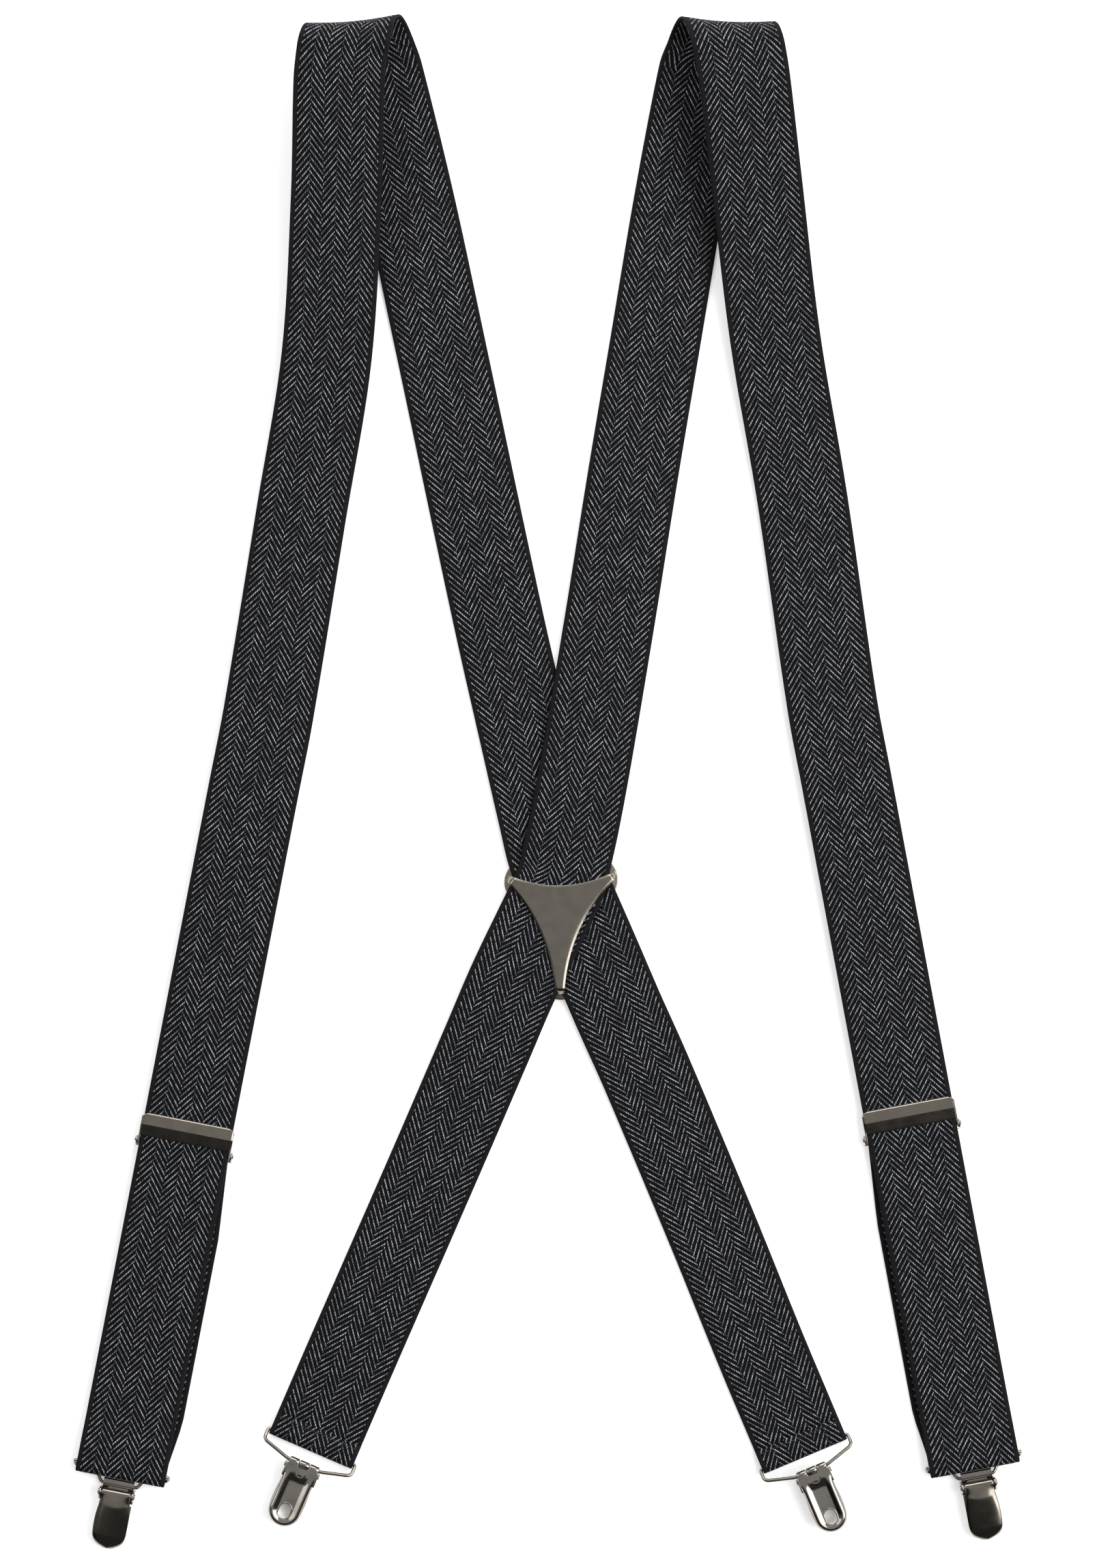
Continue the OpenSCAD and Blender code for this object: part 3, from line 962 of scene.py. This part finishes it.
            # over the last 9 mm the webbing turns to the direction that the bend starts with
            near = max(0.0, 1 - (points[-1] - point).length / 9)
            across = Vector((ahead.y, -ahead.x, 0))
            ribbon.add(point * MM, across.lerp(self.bend(0)[1], min(1.0, near * 1.2)))
        return ribbon

    def bend(self, q: float) -> tuple[Vector, Vector]:
        """The middle and the across direction at angle q, in degrees, round the bend over the shoulder.

        Args:
            q: 0 at the top of the bend, 180 where the back run starts.

        Returns:
            The middle, in mm, and the direction across.
        """
        t1, t2 = compass(self.top_lean), -compass(self.under_lean)
        axis = Vector((t1.y - t2.y, t2.x - t1.x, 0)).normalized()
        side = Vector((-axis.y, axis.x, 0))
        lean, turn = math.asin(t1.dot(axis)), math.radians(q)
        out = side * math.sin(turn) + Vector((0, 0, math.cos(turn)))
        run = side * math.cos(turn) - Vector((0, 0, math.sin(turn)))
        middle = Vector((*self.top, self.half_t + self.bend_r))
        point = middle + axis * (self.bend_r * turn * math.tan(lean)) + out * self.bend_r
        return point, axis * math.cos(lean) - run * math.sin(lean)

    def shoulder_and_back(self) -> Ribbon:
        """The bend over the shoulder, the back run and its sewn end round the back clip's bail.

        Returns:
            The ribbon, from the top of the shoulder to the sewn end.
        """
        ribbon = Ribbon(f"{self.side.value}_back_run")
        for k in range(25):
            point, across = self.bend(7.5 * k)
            ribbon.add(point * MM, across)
        start = self.bend(180)[0]
        end = Vector((self.back_bar.x, self.back_bar.y, self.low_z))
        line = [start, start - compass(self.under_lean) * 2]
        line += [Vector(p) for p in self.back_run]
        line += [end + self.back_up * 43, end + self.back_up * self.hem_len, end]
        points = smooth_line(line, 10)
        for i, point in enumerate(points[1:], 1):
            ahead = flat(points[min(i + 1, len(points) - 1)] - points[i - 1])
            ribbon.add(point * MM, Vector((-ahead.y, ahead.x, 0)))
        across = Vector((self.back_up.y, -self.back_up.x, 0))
        self.turn(ribbon, end, -self.back_up, across, self.low_z, self.back_hem_z)
        for k in range(1, 6):
            lift = self.back_hem_z - 1.1 * (k / 5) ** 2
            point = Vector((end.x, end.y, lift)) + self.back_up * (self.hem_len - 2) * k / 5
            ribbon.add(point * MM, across)
        return ribbon

    def build(self) -> None:
        """Builds and dresses the three lengths and the sewing threads."""
        name = self.side.value
        low, front, back = self.return_and_hem(), self.front_and_fold(), self.shoulder_and_back()
        front.start_at = low.length()
        back.start_at = front.start_at + front.length()
        piece = low.build()
        dress(piece, self.finish, "", "webbing", f"{name}_return", f"{name}_end_hem")
        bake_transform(piece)
        piece = front.build()
        dress(piece, self.finish, "", "webbing", f"{name}_front", f"{name}_fold")
        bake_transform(piece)
        piece = back.build()
        nodes = (f"{name}_shoulder", f"{name}_back", f"{name}_back_hem")
        dress(piece, self.finish, "straps", "webbing", *nodes)
        middle = self.on_run(self.adjuster_bar - 8.2, 3.12)
        self.sew(f"{name}_end_thread", f"{name}_adjuster", middle, self.up, 0.12)
        middle = self.back_bar + self.back_up * 5.9 + Vector((0, 0, 1.25))
        self.sew(f"{name}_back_thread", "straps", middle, self.back_up, self.thread_r)

    def sew(self, node: str, body: str, middle: Vector, up: Vector, proud: float) -> None:
        """Sews a row of stitches across the webbing.

        Args:
            node: the CAD node they stand for.
            body: the body they ride on.
            middle: of the row, in mm.
            up: direction along the webbing.
            proud: how far they stand out, in mm.
        """
        across = Vector((up.y, -up.x, 0))
        stitches = []
        for k in range(-7, 8):
            centre = middle + across * self.stitch_pitch * k
            a, b = centre - across * self.stitch_half, centre + across * self.stitch_half
            stitch = bar_form("stitch", tuple(a * MM), tuple(b * MM), self.thread_r * MM, 8)
            for vertex in stitch.data.vertices:
                rise = vertex.co.z - middle.z * MM
                vertex.co.z = middle.z * MM + rise * proud / self.thread_r
            stitches.append(stitch)
        row = joined(f"{node}_row", stitches)
        soften(row, 0, 50)
        dress(row, self.thread, body, "thread", node)


# ---- clips ----


@dataclass
class Clip:
    """A lever clip. Its own frame: knuckle at the origin, tip towards -Y, lever on +Z. Lengths in mm."""

    side: Side
    end: End
    finishes: Wardrobe
    plate_w: float = 12.0
    plate_len: float = 24.8
    lever_len: float = 21.6
    lever_w: float = 13.2
    wire_r: float = 0.7
    knuckle_r: float = 1.5
    sheet: float = 0.75
    pin_y: float = -2.9
    pin_z: float = 4.2
    waist: float = 5.3
    curl_r: float = 1.65

    def __post_init__(self) -> None:
        """Finds where the clip lies from its knuckle joint."""
        self.name = f"{self.side.value}_{self.end.value}"
        joint = JOINTS[f"{self.name}_clip_swing"]
        across = Vector(joint["axis"]).normalized()
        knuckle = Vector(joint["pos_m"])
        self.level = seat(knuckle, across)
        self.place = seat(knuckle, across, -1 if self.end is End.BACK else 1)
        self.bar = (Vector(JOINTS[f"{self.name}_bail_swing"]["pos_m"]) - knuckle) / MM

    def bail(self) -> None:
        """The closed wire, its corners bent round."""
        rise, reach = self.bar.z, Vector((self.bar.x, self.bar.y)).length
        if self.end is End.FRONT:
            half = [(6.9, 0, 0), (7.7, 0.9, -0.3), (8.9, 3.0, -0.62), (17.4, 4.5, -0.62)]
            half += [(18.4, 5.3, -0.3), (18.4, 6.4, 1.3), (18.2, reach, rise)]
        else:
            plan = ((6.9, 0), (17.3, 2.7), (18.35, 3.7), (18.35, 6.5), (17.8, reach))
            half = [(x, y, rise * y / reach) for x, y in plan]
        loop = [Vector(p) for p in half] + [Vector((-x, y, z)) for x, y, z in reversed(half)]
        piece = wire_form(f"{self.name}_bail_wire", rounded(loop, 0.9), self.wire_r)
        piece.data.transform(self.level)
        soften(piece, 0, 60)
        dress(piece, self.finishes.gunmetal, f"{self.name}_bail", "gunmetal", f"{self.name}_bail")

    def channel(self, inset: float, along: float) -> Vector:
        """A point of the back plate, by how far it is from the rim and how far round it.

        Args:
            inset: from the rim, 0 to half the plate's width.
            along: round the rim, 0 at the left of the knuckle, 1 at its right.

        Returns:
            The point, with the rim's rolled lip, raised channel and sunk middle.
        """
        half = self.plate_w / 2
        straight = self.plate_len - half - 1.2
        end = math.pi * (half - 0.4)
        run = along * (2 * straight + end)
        if run < straight:
            x, y = -half + inset, -1.2 - run
        elif run > straight + end:
            x, y = half - inset, -1.2 - (2 * straight + end - run)
        else:
            q = math.pi * (run - straight) / end
            x, y = -(half - inset) * math.cos(q), -1.2 - straight - (half - inset) * math.sin(q)
        profile = ((0.0, 1.3), (0.35, 0.45), (0.8, 0.1), (1.15, 0.0))
        profile += ((1.4, 0.05), (2.8, 0.8), (3.1, 0.86), (9.0, 0.86))
        for (a, za), (b, zb) in zip(profile, profile[1:]):
            if a <= inset <= b:
                lift = za + (zb - za) * (inset - a) / (b - a)
                break
        fade = min(1.0, max(0.0, (-y - 4.0) / 3.0))
        return Vector((x, y, -1.5 + lift * fade + 0.25 * (1 - fade)))

    def back_plate(self) -> None:
        """Back plate with rolled rim, sunk middle, oval hole, lanced tab, knuckles and ears."""
        half = self.plate_w / 2
        insets = [0, 0.2, 0.45, 0.8, 1.15, 1.4, 1.75, 2.1, 2.45, 2.8, 3.1, 4.4, half]
        count = len(insets) - 1
        plate = sheet_form("plate", count, 72, lambda s, t: self.channel(insets[round(s * count)], t))
        edit(plate, lambda: weld(0.02))
        modify(plate, "SOLIDIFY", thickness=self.sheet, offset=0.0)
        edit(plate, weld)
        crescent = arc((0, -3.2), 2.35, 185, 355, 18) + arc((0, -2.6), 2.0, 345, 195, 18)
        for opening in (self.oval(2.25, 3.05), crescent):
            tool = plate_form("punch", opening, -6, 4)
            modify(plate, "BOOLEAN", operation="DIFFERENCE", object=tool, solver="EXACT")
            bpy.data.objects.remove(tool)
        parts = [plate, self.eyelet()]
        for side in (-1, 1):
            inner, outer = side * 2.15, side * 6.05
            parts.append(bar_form("barrel", (inner, 0, 0), (outer, 0, 0), self.knuckle_r))
            parts.append(slab("leaf", (min(inner, outer), max(inner, outer)), (-4.2, 0), (-1.5, -0.75), 0.12))
            parts.append(cheek("ear", self.ear_outline(), side * 6.4, 0.8, 0.18))
        piece = assembled(f"{self.name}_back_plate", parts, self.place)
        dress(piece, self.finishes.nickel, f"{self.name}_clip", "nickel", f"{self.name}_plate")

    def oval(self, half_x: float, half_y: float) -> list[Pair]:
        """The hole's outline near the plate's tip: two half rounds joined by straights.

        Args:
            half_x: half its width.
            half_y: half its length.

        Returns:
            The outline, anticlockwise.
        """
        flat_y = half_y - half_x
        upper = arc((0, -19.1 + flat_y), half_x, 0, 180, 14)
        return upper + arc((0, -19.1 - flat_y), half_x, 180, 360, 14)

    def eyelet(self) -> Piece:
        """The rolled lip round the oval hole."""
        loop = [Vector((x, y, -1.0)) for x, y in self.oval(2.5, 3.3)]
        return wire_form("eyelet", loop, 0.34)

    def ear_outline(self) -> list[Pair]:
        """The ear's side view, as (y, z): a foot on the plate and a round head about the pin."""
        head = arc((self.pin_y, self.pin_z), 1.9, -20, 200, 20)
        return [(-6.4, -1.4), (-1.3, -1.4), (-1.3, 2.6), *head, (-6.4, 1.6)]

    def jaw(self) -> None:
        """Jaw plate with its middle knuckle; front clips also get the hood."""
        outline = [(-5.4, -1.9), (-5.4, -14.6), *arc((-3.4, -14.4), 2.0, 180, 270, 6)]
        outline += [*arc((3.4, -14.4), 2.0, 270, 360, 6), (5.4, -1.9)]
        plate = plate_form("plate", outline, 0.75, 1.5)
        soften(plate, 0.2)
        barrel = bar_form("barrel", (-2, 0, 0), (2, 0, 0), self.knuckle_r)
        tongue = slab("tongue", (-2, 2), (-2.6, 0), (0.75, 1.5))
        parts = [plate, barrel, tongue]
        if self.end is End.FRONT:
            parts.append(self.hood())
        piece = assembled(f"{self.name}_jaw_plate", parts, self.place)
        dress(piece, self.finishes.nickel, f"{self.name}_jaw", "nickel", f"{self.name}_jaw")

    def hood(self) -> Piece:
        """The flat face of the jaw plate, carried on over the knuckle and turned down along its upper edge.

        Returns:
            The hood.
        """
        rows = [(2.35, 0.7), (2.3, 1.2), (2.05, 1.6), (1.6, 1.8), (1.0, 1.84)]
        rows += [(0.2, 1.84), (-0.8, 1.7), (-2.2, 1.42), (-3.3, 1.1)]
        last = len(rows) - 1
        half = self.plate_w / 2
        hood = sheet_form(
            "hood", 12, last, lambda s, t: Vector(((2 * s - 1) * half, *rows[round((1 - t) * last)]))
        )
        modify(hood, "SOLIDIFY", thickness=0.3, offset=-1.0)
        edit(hood, weld)
        return hood

    def lever_half(self, s: float) -> float:
        """Half the lever's width at distance s from the pin towards the tip.

        Args:
            s: distance from the pin.

        Returns:
            Half the width there.
        """
        widest = self.lever_w / 2
        flare = min(1.0, s / 11.5)
        body = self.waist + (widest - self.waist) * math.sin(math.pi * flare / 2) ** 1.4
        if s < 14.0:
            return body
        u = min(1.0, (s - 14.0) / (self.lever_len - 14.0))
        return (widest - 0.35 * u) * (1 - u**3.6) ** 0.5

    def lever_point(self, s: float, t: float) -> Vector:
        """A point of the lever's sheet: curled round the pin, a level strip, then a paddle that slopes away.

        Args:
            s: across, 0 to 1.
            t: along, 0 at the curl's inner end, 1 at the tip.

        Returns:
            The point.
        """
        curl, side = 0.2, 2 * s - 1
        if t < curl:
            q = math.radians(-110 + 200 * t / curl)
            y, z = self.curl_r * math.cos(q), self.curl_r * math.sin(q)
            return Vector((side * self.waist, self.pin_y + y, self.pin_z + z))
        reach = (t - curl) / (1 - curl)
        run = self.lever_len * (1 - (1 - reach) ** 1.45)
        half = self.lever_half(run)
        past = max(0.0, run - (4.6 - 1.5 * side**2))
        slope = 0.12 * past**2 / (past + 0.5)
        tip = 1.0 * max(0.0, (run - 16.5) / 4.1) ** 2
        drop = 0.3 * side**2 + 0.6 * abs(side) ** 8
        fall = slope + tip + drop * min(1.0, run / 3)
        return Vector((side * half, self.pin_y - run, self.pin_z + self.curl_r - fall))

    def lever(self) -> None:
        """The domed lever, its edge curled round the pin."""
        paddle = sheet_form("paddle", 28, 64, self.lever_point)
        edit(paddle, lambda: weld(0.01))
        for finish in (self.finishes.gunmetal, self.finishes.bright):
            paddle.data.materials.append(finish)
        modify(paddle, "SOLIDIFY", thickness=0.7, offset=-1.0, material_offset=1)
        edit(paddle, weld)
        cam_z = self.pin_z - 1.35
        cam = bar_form("cam", (-4, self.pin_y, cam_z), (4, self.pin_y, cam_z), 1.2)
        piece = assembled(f"{self.name}_lever_plate", [paddle, cam], self.place, 0.12, 45)
        dress(piece, None, f"{self.name}_lever", "gunmetal", f"{self.name}_lever")

    def small_parts(self) -> None:
        """The grip pad's ribs and the pin's domed heads."""
        pad = slab("pad", (-4.6, 4.6), (-15.8, -10.8), (0.0, 0.7))
        rows = (-15.1, -14.2, -13.3, -12.4, -11.5)
        ribs = [bar_form("rib", (-4.4, y, -0.05), (4.4, y, -0.05), 0.48, 12) for y in rows]
        pad = assembled(f"{self.name}_grip", [pad, *ribs], self.place, 0.1, 50)
        dress(pad, self.finishes.grip, f"{self.name}_jaw", "grip", f"{self.name}_pad")
        line = (self.pin_y, self.pin_z)
        shaft = bar_form("shaft", (-7.0, *line), (7.0, *line), 0.74)
        heads = [bar_form("head", (s * 6.83, *line), (s * 7.27, *line), 1.05) for s in (-1, 1)]
        pin = assembled(f"{self.name}_lever_pin", [shaft, *heads], self.place)
        dress(pin, self.finishes.nickel, f"{self.name}_clip", "nickel", f"{self.name}_pin")

    def build(self) -> None:
        """Builds every part of the clip."""
        self.bail()
        self.back_plate()
        self.jaw()
        self.lever()
        self.small_parts()


# ---- adjusters ----


@dataclass
class Adjuster:
    """Flip-cover adjuster. Its own frame: cover's middle at the origin, +Y up the strap. Lengths in mm."""

    side: Side
    finishes: Wardrobe
    cover_w: float = 36.4
    cover_h: float = 9.2
    arm_x: float = 17.6
    hinge_y: float = -6.3
    hinge_z: float = 3.0

    def __post_init__(self) -> None:
        """Finds where the adjuster lies from its hinge."""
        self.name = self.side.value
        joint = JOINTS[f"{self.name}_cover_flip"]
        across = Vector(joint["axis"]).normalized()
        up = Vector((-across.y, across.x, 0))
        hinge = Vector(joint["pos_m"])
        middle = Vector((hinge.x, hinge.y, 0)) - up * self.hinge_y * MM
        self.place = seat(middle, across)

    def cover_point(self, s: float, t: float) -> Vector:
        """A point of the cover: two slopes that meet in a crease, edges turned down, upper corners cut.

        Args:
            s: across, 0 to 1.
            t: up the strap, 0 to 1.

        Returns:
            The point on the cover's outer face.
        """
        half_w, half_h = self.cover_w / 2, self.cover_h / 2
        y = (2 * t - 1) * half_h
        cut = max(0.0, y - (half_h - 1.8))
        narrow = 0.25 * (y + half_h) / self.cover_h + cut**2 / 1.9
        x = (2 * s - 1) * (half_w - narrow)
        crease = 5.55 - 0.13 * max(0.0, y - 0.2) - 0.17 * max(0.0, 0.2 - y)
        rim_x = max(0.0, abs(x) - (half_w - narrow - 0.7)) / 0.7
        rim_y = max(0.0, abs(y) - (half_h - 0.6)) / 0.6
        return Vector((x, y, crease - 0.45 * rim_x**2 - 0.35 * rim_y**2))

    def cover(self) -> None:
        """The creased cover with its two arms down to the hinge."""
        sheet = sheet_form("cover", 60, 36, self.cover_point)
        modify(sheet, "SOLIDIFY", thickness=0.65, offset=-1.0)
        edit(sheet, weld)
        parts = [sheet]
        profile = [(-7.2, 2.9), *arc((self.hinge_y, self.hinge_z), 0.95, 200, 340, 10)]
        profile += [(-3.2, 3.9), (3.0, 4.3), (3.0, 4.9), (-7.0, 4.75)]
        for side in (-1, 1):
            parts.append(cheek("arm", profile, side * (self.arm_x + 0.3), 0.6, 0.12))
        piece = assembled(f"{self.name}_cover_plate", parts, self.place, 0.0, 14)
        dress(piece, self.finishes.gunmetal, f"{self.name}_cover", "gunmetal", f"{self.name}_adjuster_cover")

    def frame(self) -> None:
        """The sewn bar with its upturned lugs, and the rivets."""
        lug = self.arm_x + 0.7
        parts = [slab("bar", (-lug - 0.6, lug + 0.6), (-8.8, -5.8), (1.25, 1.95), 0.2)]
        profile = [(-8.3, 1.3), (-4.9, 1.3), (-4.9, 3.4), *arc((-6.5, 3.2), 1.5, 15, 165, 10), (-8.3, 3.0)]
        for side in (-1, 1):
            parts.append(cheek("lug", profile, side * (lug + 0.3), 0.6, 0.12))
        piece = assembled(f"{self.name}_sewn_bar", parts, self.place)
        dress(piece, self.finishes.nickel, f"{self.name}_adjuster", "nickel", f"{self.name}_adjuster_frame")
        rivets = []
        for side in (-1, 1):
            ends = [(side * x, self.hinge_y, self.hinge_z) for x in (17.7, 19.0, 19.4)]
            rivets.append(bar_form("shank", ends[0], ends[1], 0.5, 20))
            rivets.append(bar_form("head", (side * 18.9, *ends[0][1:]), ends[2], 0.8, 24))
        piece = assembled(f"{self.name}_rivets", rivets, self.place)
        dress(piece, self.finishes.nickel, f"{self.name}_adjuster", "nickel", f"{self.name}_adjuster_rivets")

    def build(self) -> None:
        """Builds the cover, the frame and the rivets."""
        self.cover()
        self.frame()


# ---- cross patch ----


@dataclass
class CrossPatch:
    """Two plates that hold the straps where they cross. Lengths in mm."""

    finishes: Wardrobe
    plate_t: float = 1.0
    front_z: float = 3.7
    rim_w: float = 0.8
    rim_drop: float = 0.3
    posts: tuple[Pair, ...] = ((-15.3, -36.4), (25.7, -34.6), (4.4, -81.4))

    def hollow(self, start: Pair, stop: Pair, sag: float, steps: int = 24) -> list[Pair]:
        """Points along an edge that bows inwards between two tips.

        Args:
            start: first tip.
            stop: second tip.
            sag: depth of the bow, to the left of the way from start to stop.
            steps: stretches in the edge.

        Returns:
            The edge's points, without the last.
        """
        a, b = Vector(start), Vector(stop)
        side = Vector((-(b - a).y, (b - a).x)).normalized()
        shares = [k / steps for k in range(steps)]
        return [tuple(a.lerp(b, u) + side * sag * 4 * u * (1 - u)) for u in shares]

    def front_outline(self) -> list[Pair]:
        """The concave-sided plate's outline, anticlockwise, its tips cut square.

        Returns:
            The outline's points.
        """
        tips = [(-16.4, -34.9), (-16.6, -37.3), (2.7, -82.6), (6.1, -82.6), (27.0, -35.6), (26.6, -33.4)]
        left = self.hollow(tips[1], tips[2], 4.6)
        right = self.hollow(tips[3], tips[4], 5.2)
        top = self.hollow(tips[5], tips[0], 5.1)
        return [*left, *right, *top]

    def raise_face(self, piece: Piece) -> None:
        """Insets the top face and lifts it, which leaves a sloping rim all round.

        Args:
            piece: the flat plate.
        """
        edit(
            piece,
            lambda: bpy.ops.mesh.select_mode(type="FACE"),
            lambda: bpy.ops.mesh.select_all(action="DESELECT"),
        )
        for polygon in piece.data.polygons:
            polygon.select = polygon.normal.z > 0.9
        bpy.ops.object.mode_set(mode="EDIT")
        bpy.ops.mesh.inset(thickness=self.rim_w, depth=self.rim_drop)
        bpy.ops.mesh.select_mode(type="VERT")
        bpy.ops.object.mode_set(mode="OBJECT")

    def drape(self, piece: Piece) -> None:
        """Bends the plate's tips down onto the posts, each about a line across its tip.

        Args:
            piece: the front plate.
        """
        for vertex in piece.data.vertices:
            post = min((Vector(p) for p in self.posts), key=lambda p: (p - vertex.co.xy).length)
            outward = (post - Vector((4.9, -50.9))).normalized()
            past = (vertex.co.xy - post).dot(outward)
            bend = min(1.0, max(0.0, (past + 2.1) / 2.6))
            vertex.co.z -= 0.6 * max(0.0, 1 + past / 8) ** 2 + 1.6 * bend * bend * (3 - 2 * bend)

    def back_plate(self) -> None:
        """The three-lobed back plate with its posts."""
        outline = arc((-8.6, -38), 8.6, 80, 205, 18) + arc((4.7, -75.4), 8.4, 205, 335, 18)
        outline += arc((18.2, -37), 8.8, -25, 98, 18)
        back = plate_form("disc", outline, 0, self.plate_t)
        soften(back, 0.3)
        posts = [slab("post", (x - 0.6, x + 0.6), (y - 0.8, y + 0.8), (0.5, 1.5), 0.2) for x, y in self.posts]
        piece = joined("patch_back", [back, *posts])
        piece.data.transform(Matrix.Scale(MM, 4))
        soften(piece, 0, 40)
        dress(piece, self.finishes.gunmetal, "straps", "gunmetal", "patch_back_plate")

    def front_plate(self) -> None:
        """The concave-sided front plate, raised inside its rim and draped onto the posts."""
        rim_z = self.front_z + self.plate_t - self.rim_drop
        front = plate_form("patch_front", self.front_outline(), self.front_z, rim_z)
        self.raise_face(front)
        edit(front, bpy.ops.mesh.quads_convert_to_tris, lambda: bpy.ops.mesh.subdivide(number_cuts=5))
        self.drape(front)
        soften(front, 0.15, 40)
        front.data.transform(Matrix.Scale(MM, 4))
        dress(front, self.finishes.gunmetal, "straps", "gunmetal", "patch_front_plate")

    def build(self) -> None:
        """Builds the two plates."""
        self.back_plate()
        self.front_plate()


# ---- studio ----


@dataclass
class Studio:
    """White table, soft light from both sides and a camera straight above."""

    distance: float = 1.5
    frame_h: float = 0.6088
    sensor_mm: float = 36

    def floor(self) -> None:
        """The white table top."""
        clear_selection()
        bpy.ops.mesh.primitive_plane_add(size=6)
        top = bpy.context.object
        top.name = "table_top"
        # matt laminate, lit through from below, so that it reads plain white with the faintest clouds
        laminate = bpy.data.materials.new("matt_white_laminate")
        r = Recipe(laminate, "Principled BSDF")
        place = r.add("TexCoord", out="Object")
        cloud = r.add("TexNoise", {"Vector": place, "Scale": 4.0})
        sheet = {"Factor": cloud, "A": linear("#fafafa"), "B": linear("#ffffff")}
        r.feed(
            r.shader,
            {
                "Base Color": r.add("Mix", sheet, "Result", data_type="RGBA"),
                "Roughness": 0.9,
                "Emission Color": (1, 1, 1, 1),
                "Emission Strength": 0.4,
            },
        )
        top.data.materials.append(laminate)
        top.data.transform(Matrix.Translation((0, 0, -0.3 * MM)))

    def lamp(self, name: str, at: Point, size: Pair, power: float) -> None:
        """Hangs a soft box that faces the middle of the table.

        Args:
            name: the lamp's name.
            at: its place.
            size: width and height.
            power: in watts.
        """
        light = bpy.data.lights.new(name, "AREA")
        light.shape, light.size, light.size_y, light.energy = "RECTANGLE", *size, power
        lamp = bpy.data.objects.new(name, light)
        lamp.location = at
        lamp.rotation_euler = (-Vector(at)).to_track_quat("-Z", "Y").to_euler()
        bpy.context.collection.objects.link(lamp)

    def room(self, world: bpy.types.World) -> None:
        """Fills the world: a grey ceiling that falls off to dark towards the front and the left.

        Args:
            world: takes the nodes.
        """
        r = Recipe(world, "Background")
        heading = r.add("TexCoord", out="Generated")
        fades = []
        for axis, low, high, start in (("Y", -0.38, -0.24, 0.1), ("X", -0.7, -0.4, 0.3)):
            part = r.add("SeparateXYZ", (heading,), axis)
            fades.append(r.add("MapRange", (part, low, high, start, 1.0), **SMOOTH))
        strength = r.add("Math", tuple(fades), operation="MULTIPLY")
        r.feed(r.shader, {"Color": (0.5, 0.5, 0.505, 1), "Strength": strength})

    def build(self) -> None:
        """Builds the table, the world, the lamps and the camera."""
        scene = bpy.context.scene
        scene.view_settings.view_transform = "Standard"
        world = bpy.data.worlds.new("studio")
        scene.world = world
        self.room(world)
        self.floor()
        self.lamp("left_box", (-1.6, 0.5, 1.2), (1.4, 1.6), 12)
        self.lamp("right_box", (1.4, 0.05, 1.3), (1.6, 2.0), 36)
        self.lamp("top_box", (0.1, 1.7, 1.1), (2.0, 1.0), 20)
        data = bpy.data.cameras.new("overhead")
        data.sensor_fit = "VERTICAL"
        data.sensor_height = self.sensor_mm
        data.lens = self.sensor_mm * self.distance / self.frame_h
        camera = bpy.data.objects.new("overhead", data)
        camera.location = (0, 0, self.distance)
        bpy.context.collection.objects.link(camera)
        scene.camera = camera


LEFT_BACK = [
    (-66, 275, 0.6),
    (-53.7, 224.7, 0.6),
    (-42.3, 171.7, 0.6),
    (-19.8, 65.6, 0.6),
    (-7.8, 12.6, 0.9),
    (-1.7, -13.9, 1.6),
    (1.4, -27, 1.7),
    (5.6, -38, 1.7),
    (18.2, -67, 1.7),
    (27.6, -88.8, 1.7),
    (38, -112, 0.9),
    (63.6, -173, 0.6),
]
RIGHT_BACK = [
    (60, 275, 0.6),
    (50.4, 224.7, 0.6),
    (41.5, 171.7, 0.6),
    (32.6, 118.7, 0.6),
    (24.1, 65.6, 1.9),
    (15.2, 12.6, 2.7),
    (10.3, -13.9, 3.0),
    (7.4, -27.2, 3.0),
    (5.3, -36.5, 3.0),
    (1.4, -45.5, 3.0),
    (-13.5, -76.5, 3.0),
    (-24, -101, 2.0),
    (-43.6, -146.5, 0.6),
]


def main() -> None:
    """Builds the studio and every piece of the suspenders."""
    logging.basicConfig(level=logging.INFO, format="%(message)s")
    Studio().build()
    finishes = Wardrobe()
    Strap(
        side=Side.LEFT,
        corner=(-84.2, 165),
        top=(-78.6, 283),
        rise_lean=2.3,
        top_lean=11.5,
        under_lean=-22,
        back_run=LEFT_BACK,
        peek=2.2,
        finish=finishes.webbing,
        thread=finishes.thread,
    ).build()
    Strap(
        side=Side.RIGHT,
        corner=(87, 172),
        top=(72.8, 283),
        rise_lean=-6.5,
        top_lean=-14,
        under_lean=20,
        back_run=RIGHT_BACK,
        peek=-2.2,
        finish=finishes.webbing,
        thread=finishes.thread,
    ).build()
    CrossPatch(finishes).build()
    for side in Side:
        Adjuster(side, finishes).build()
        for end in End:
            Clip(side, end, finishes).build()


if __name__ == "__main__":
    main()
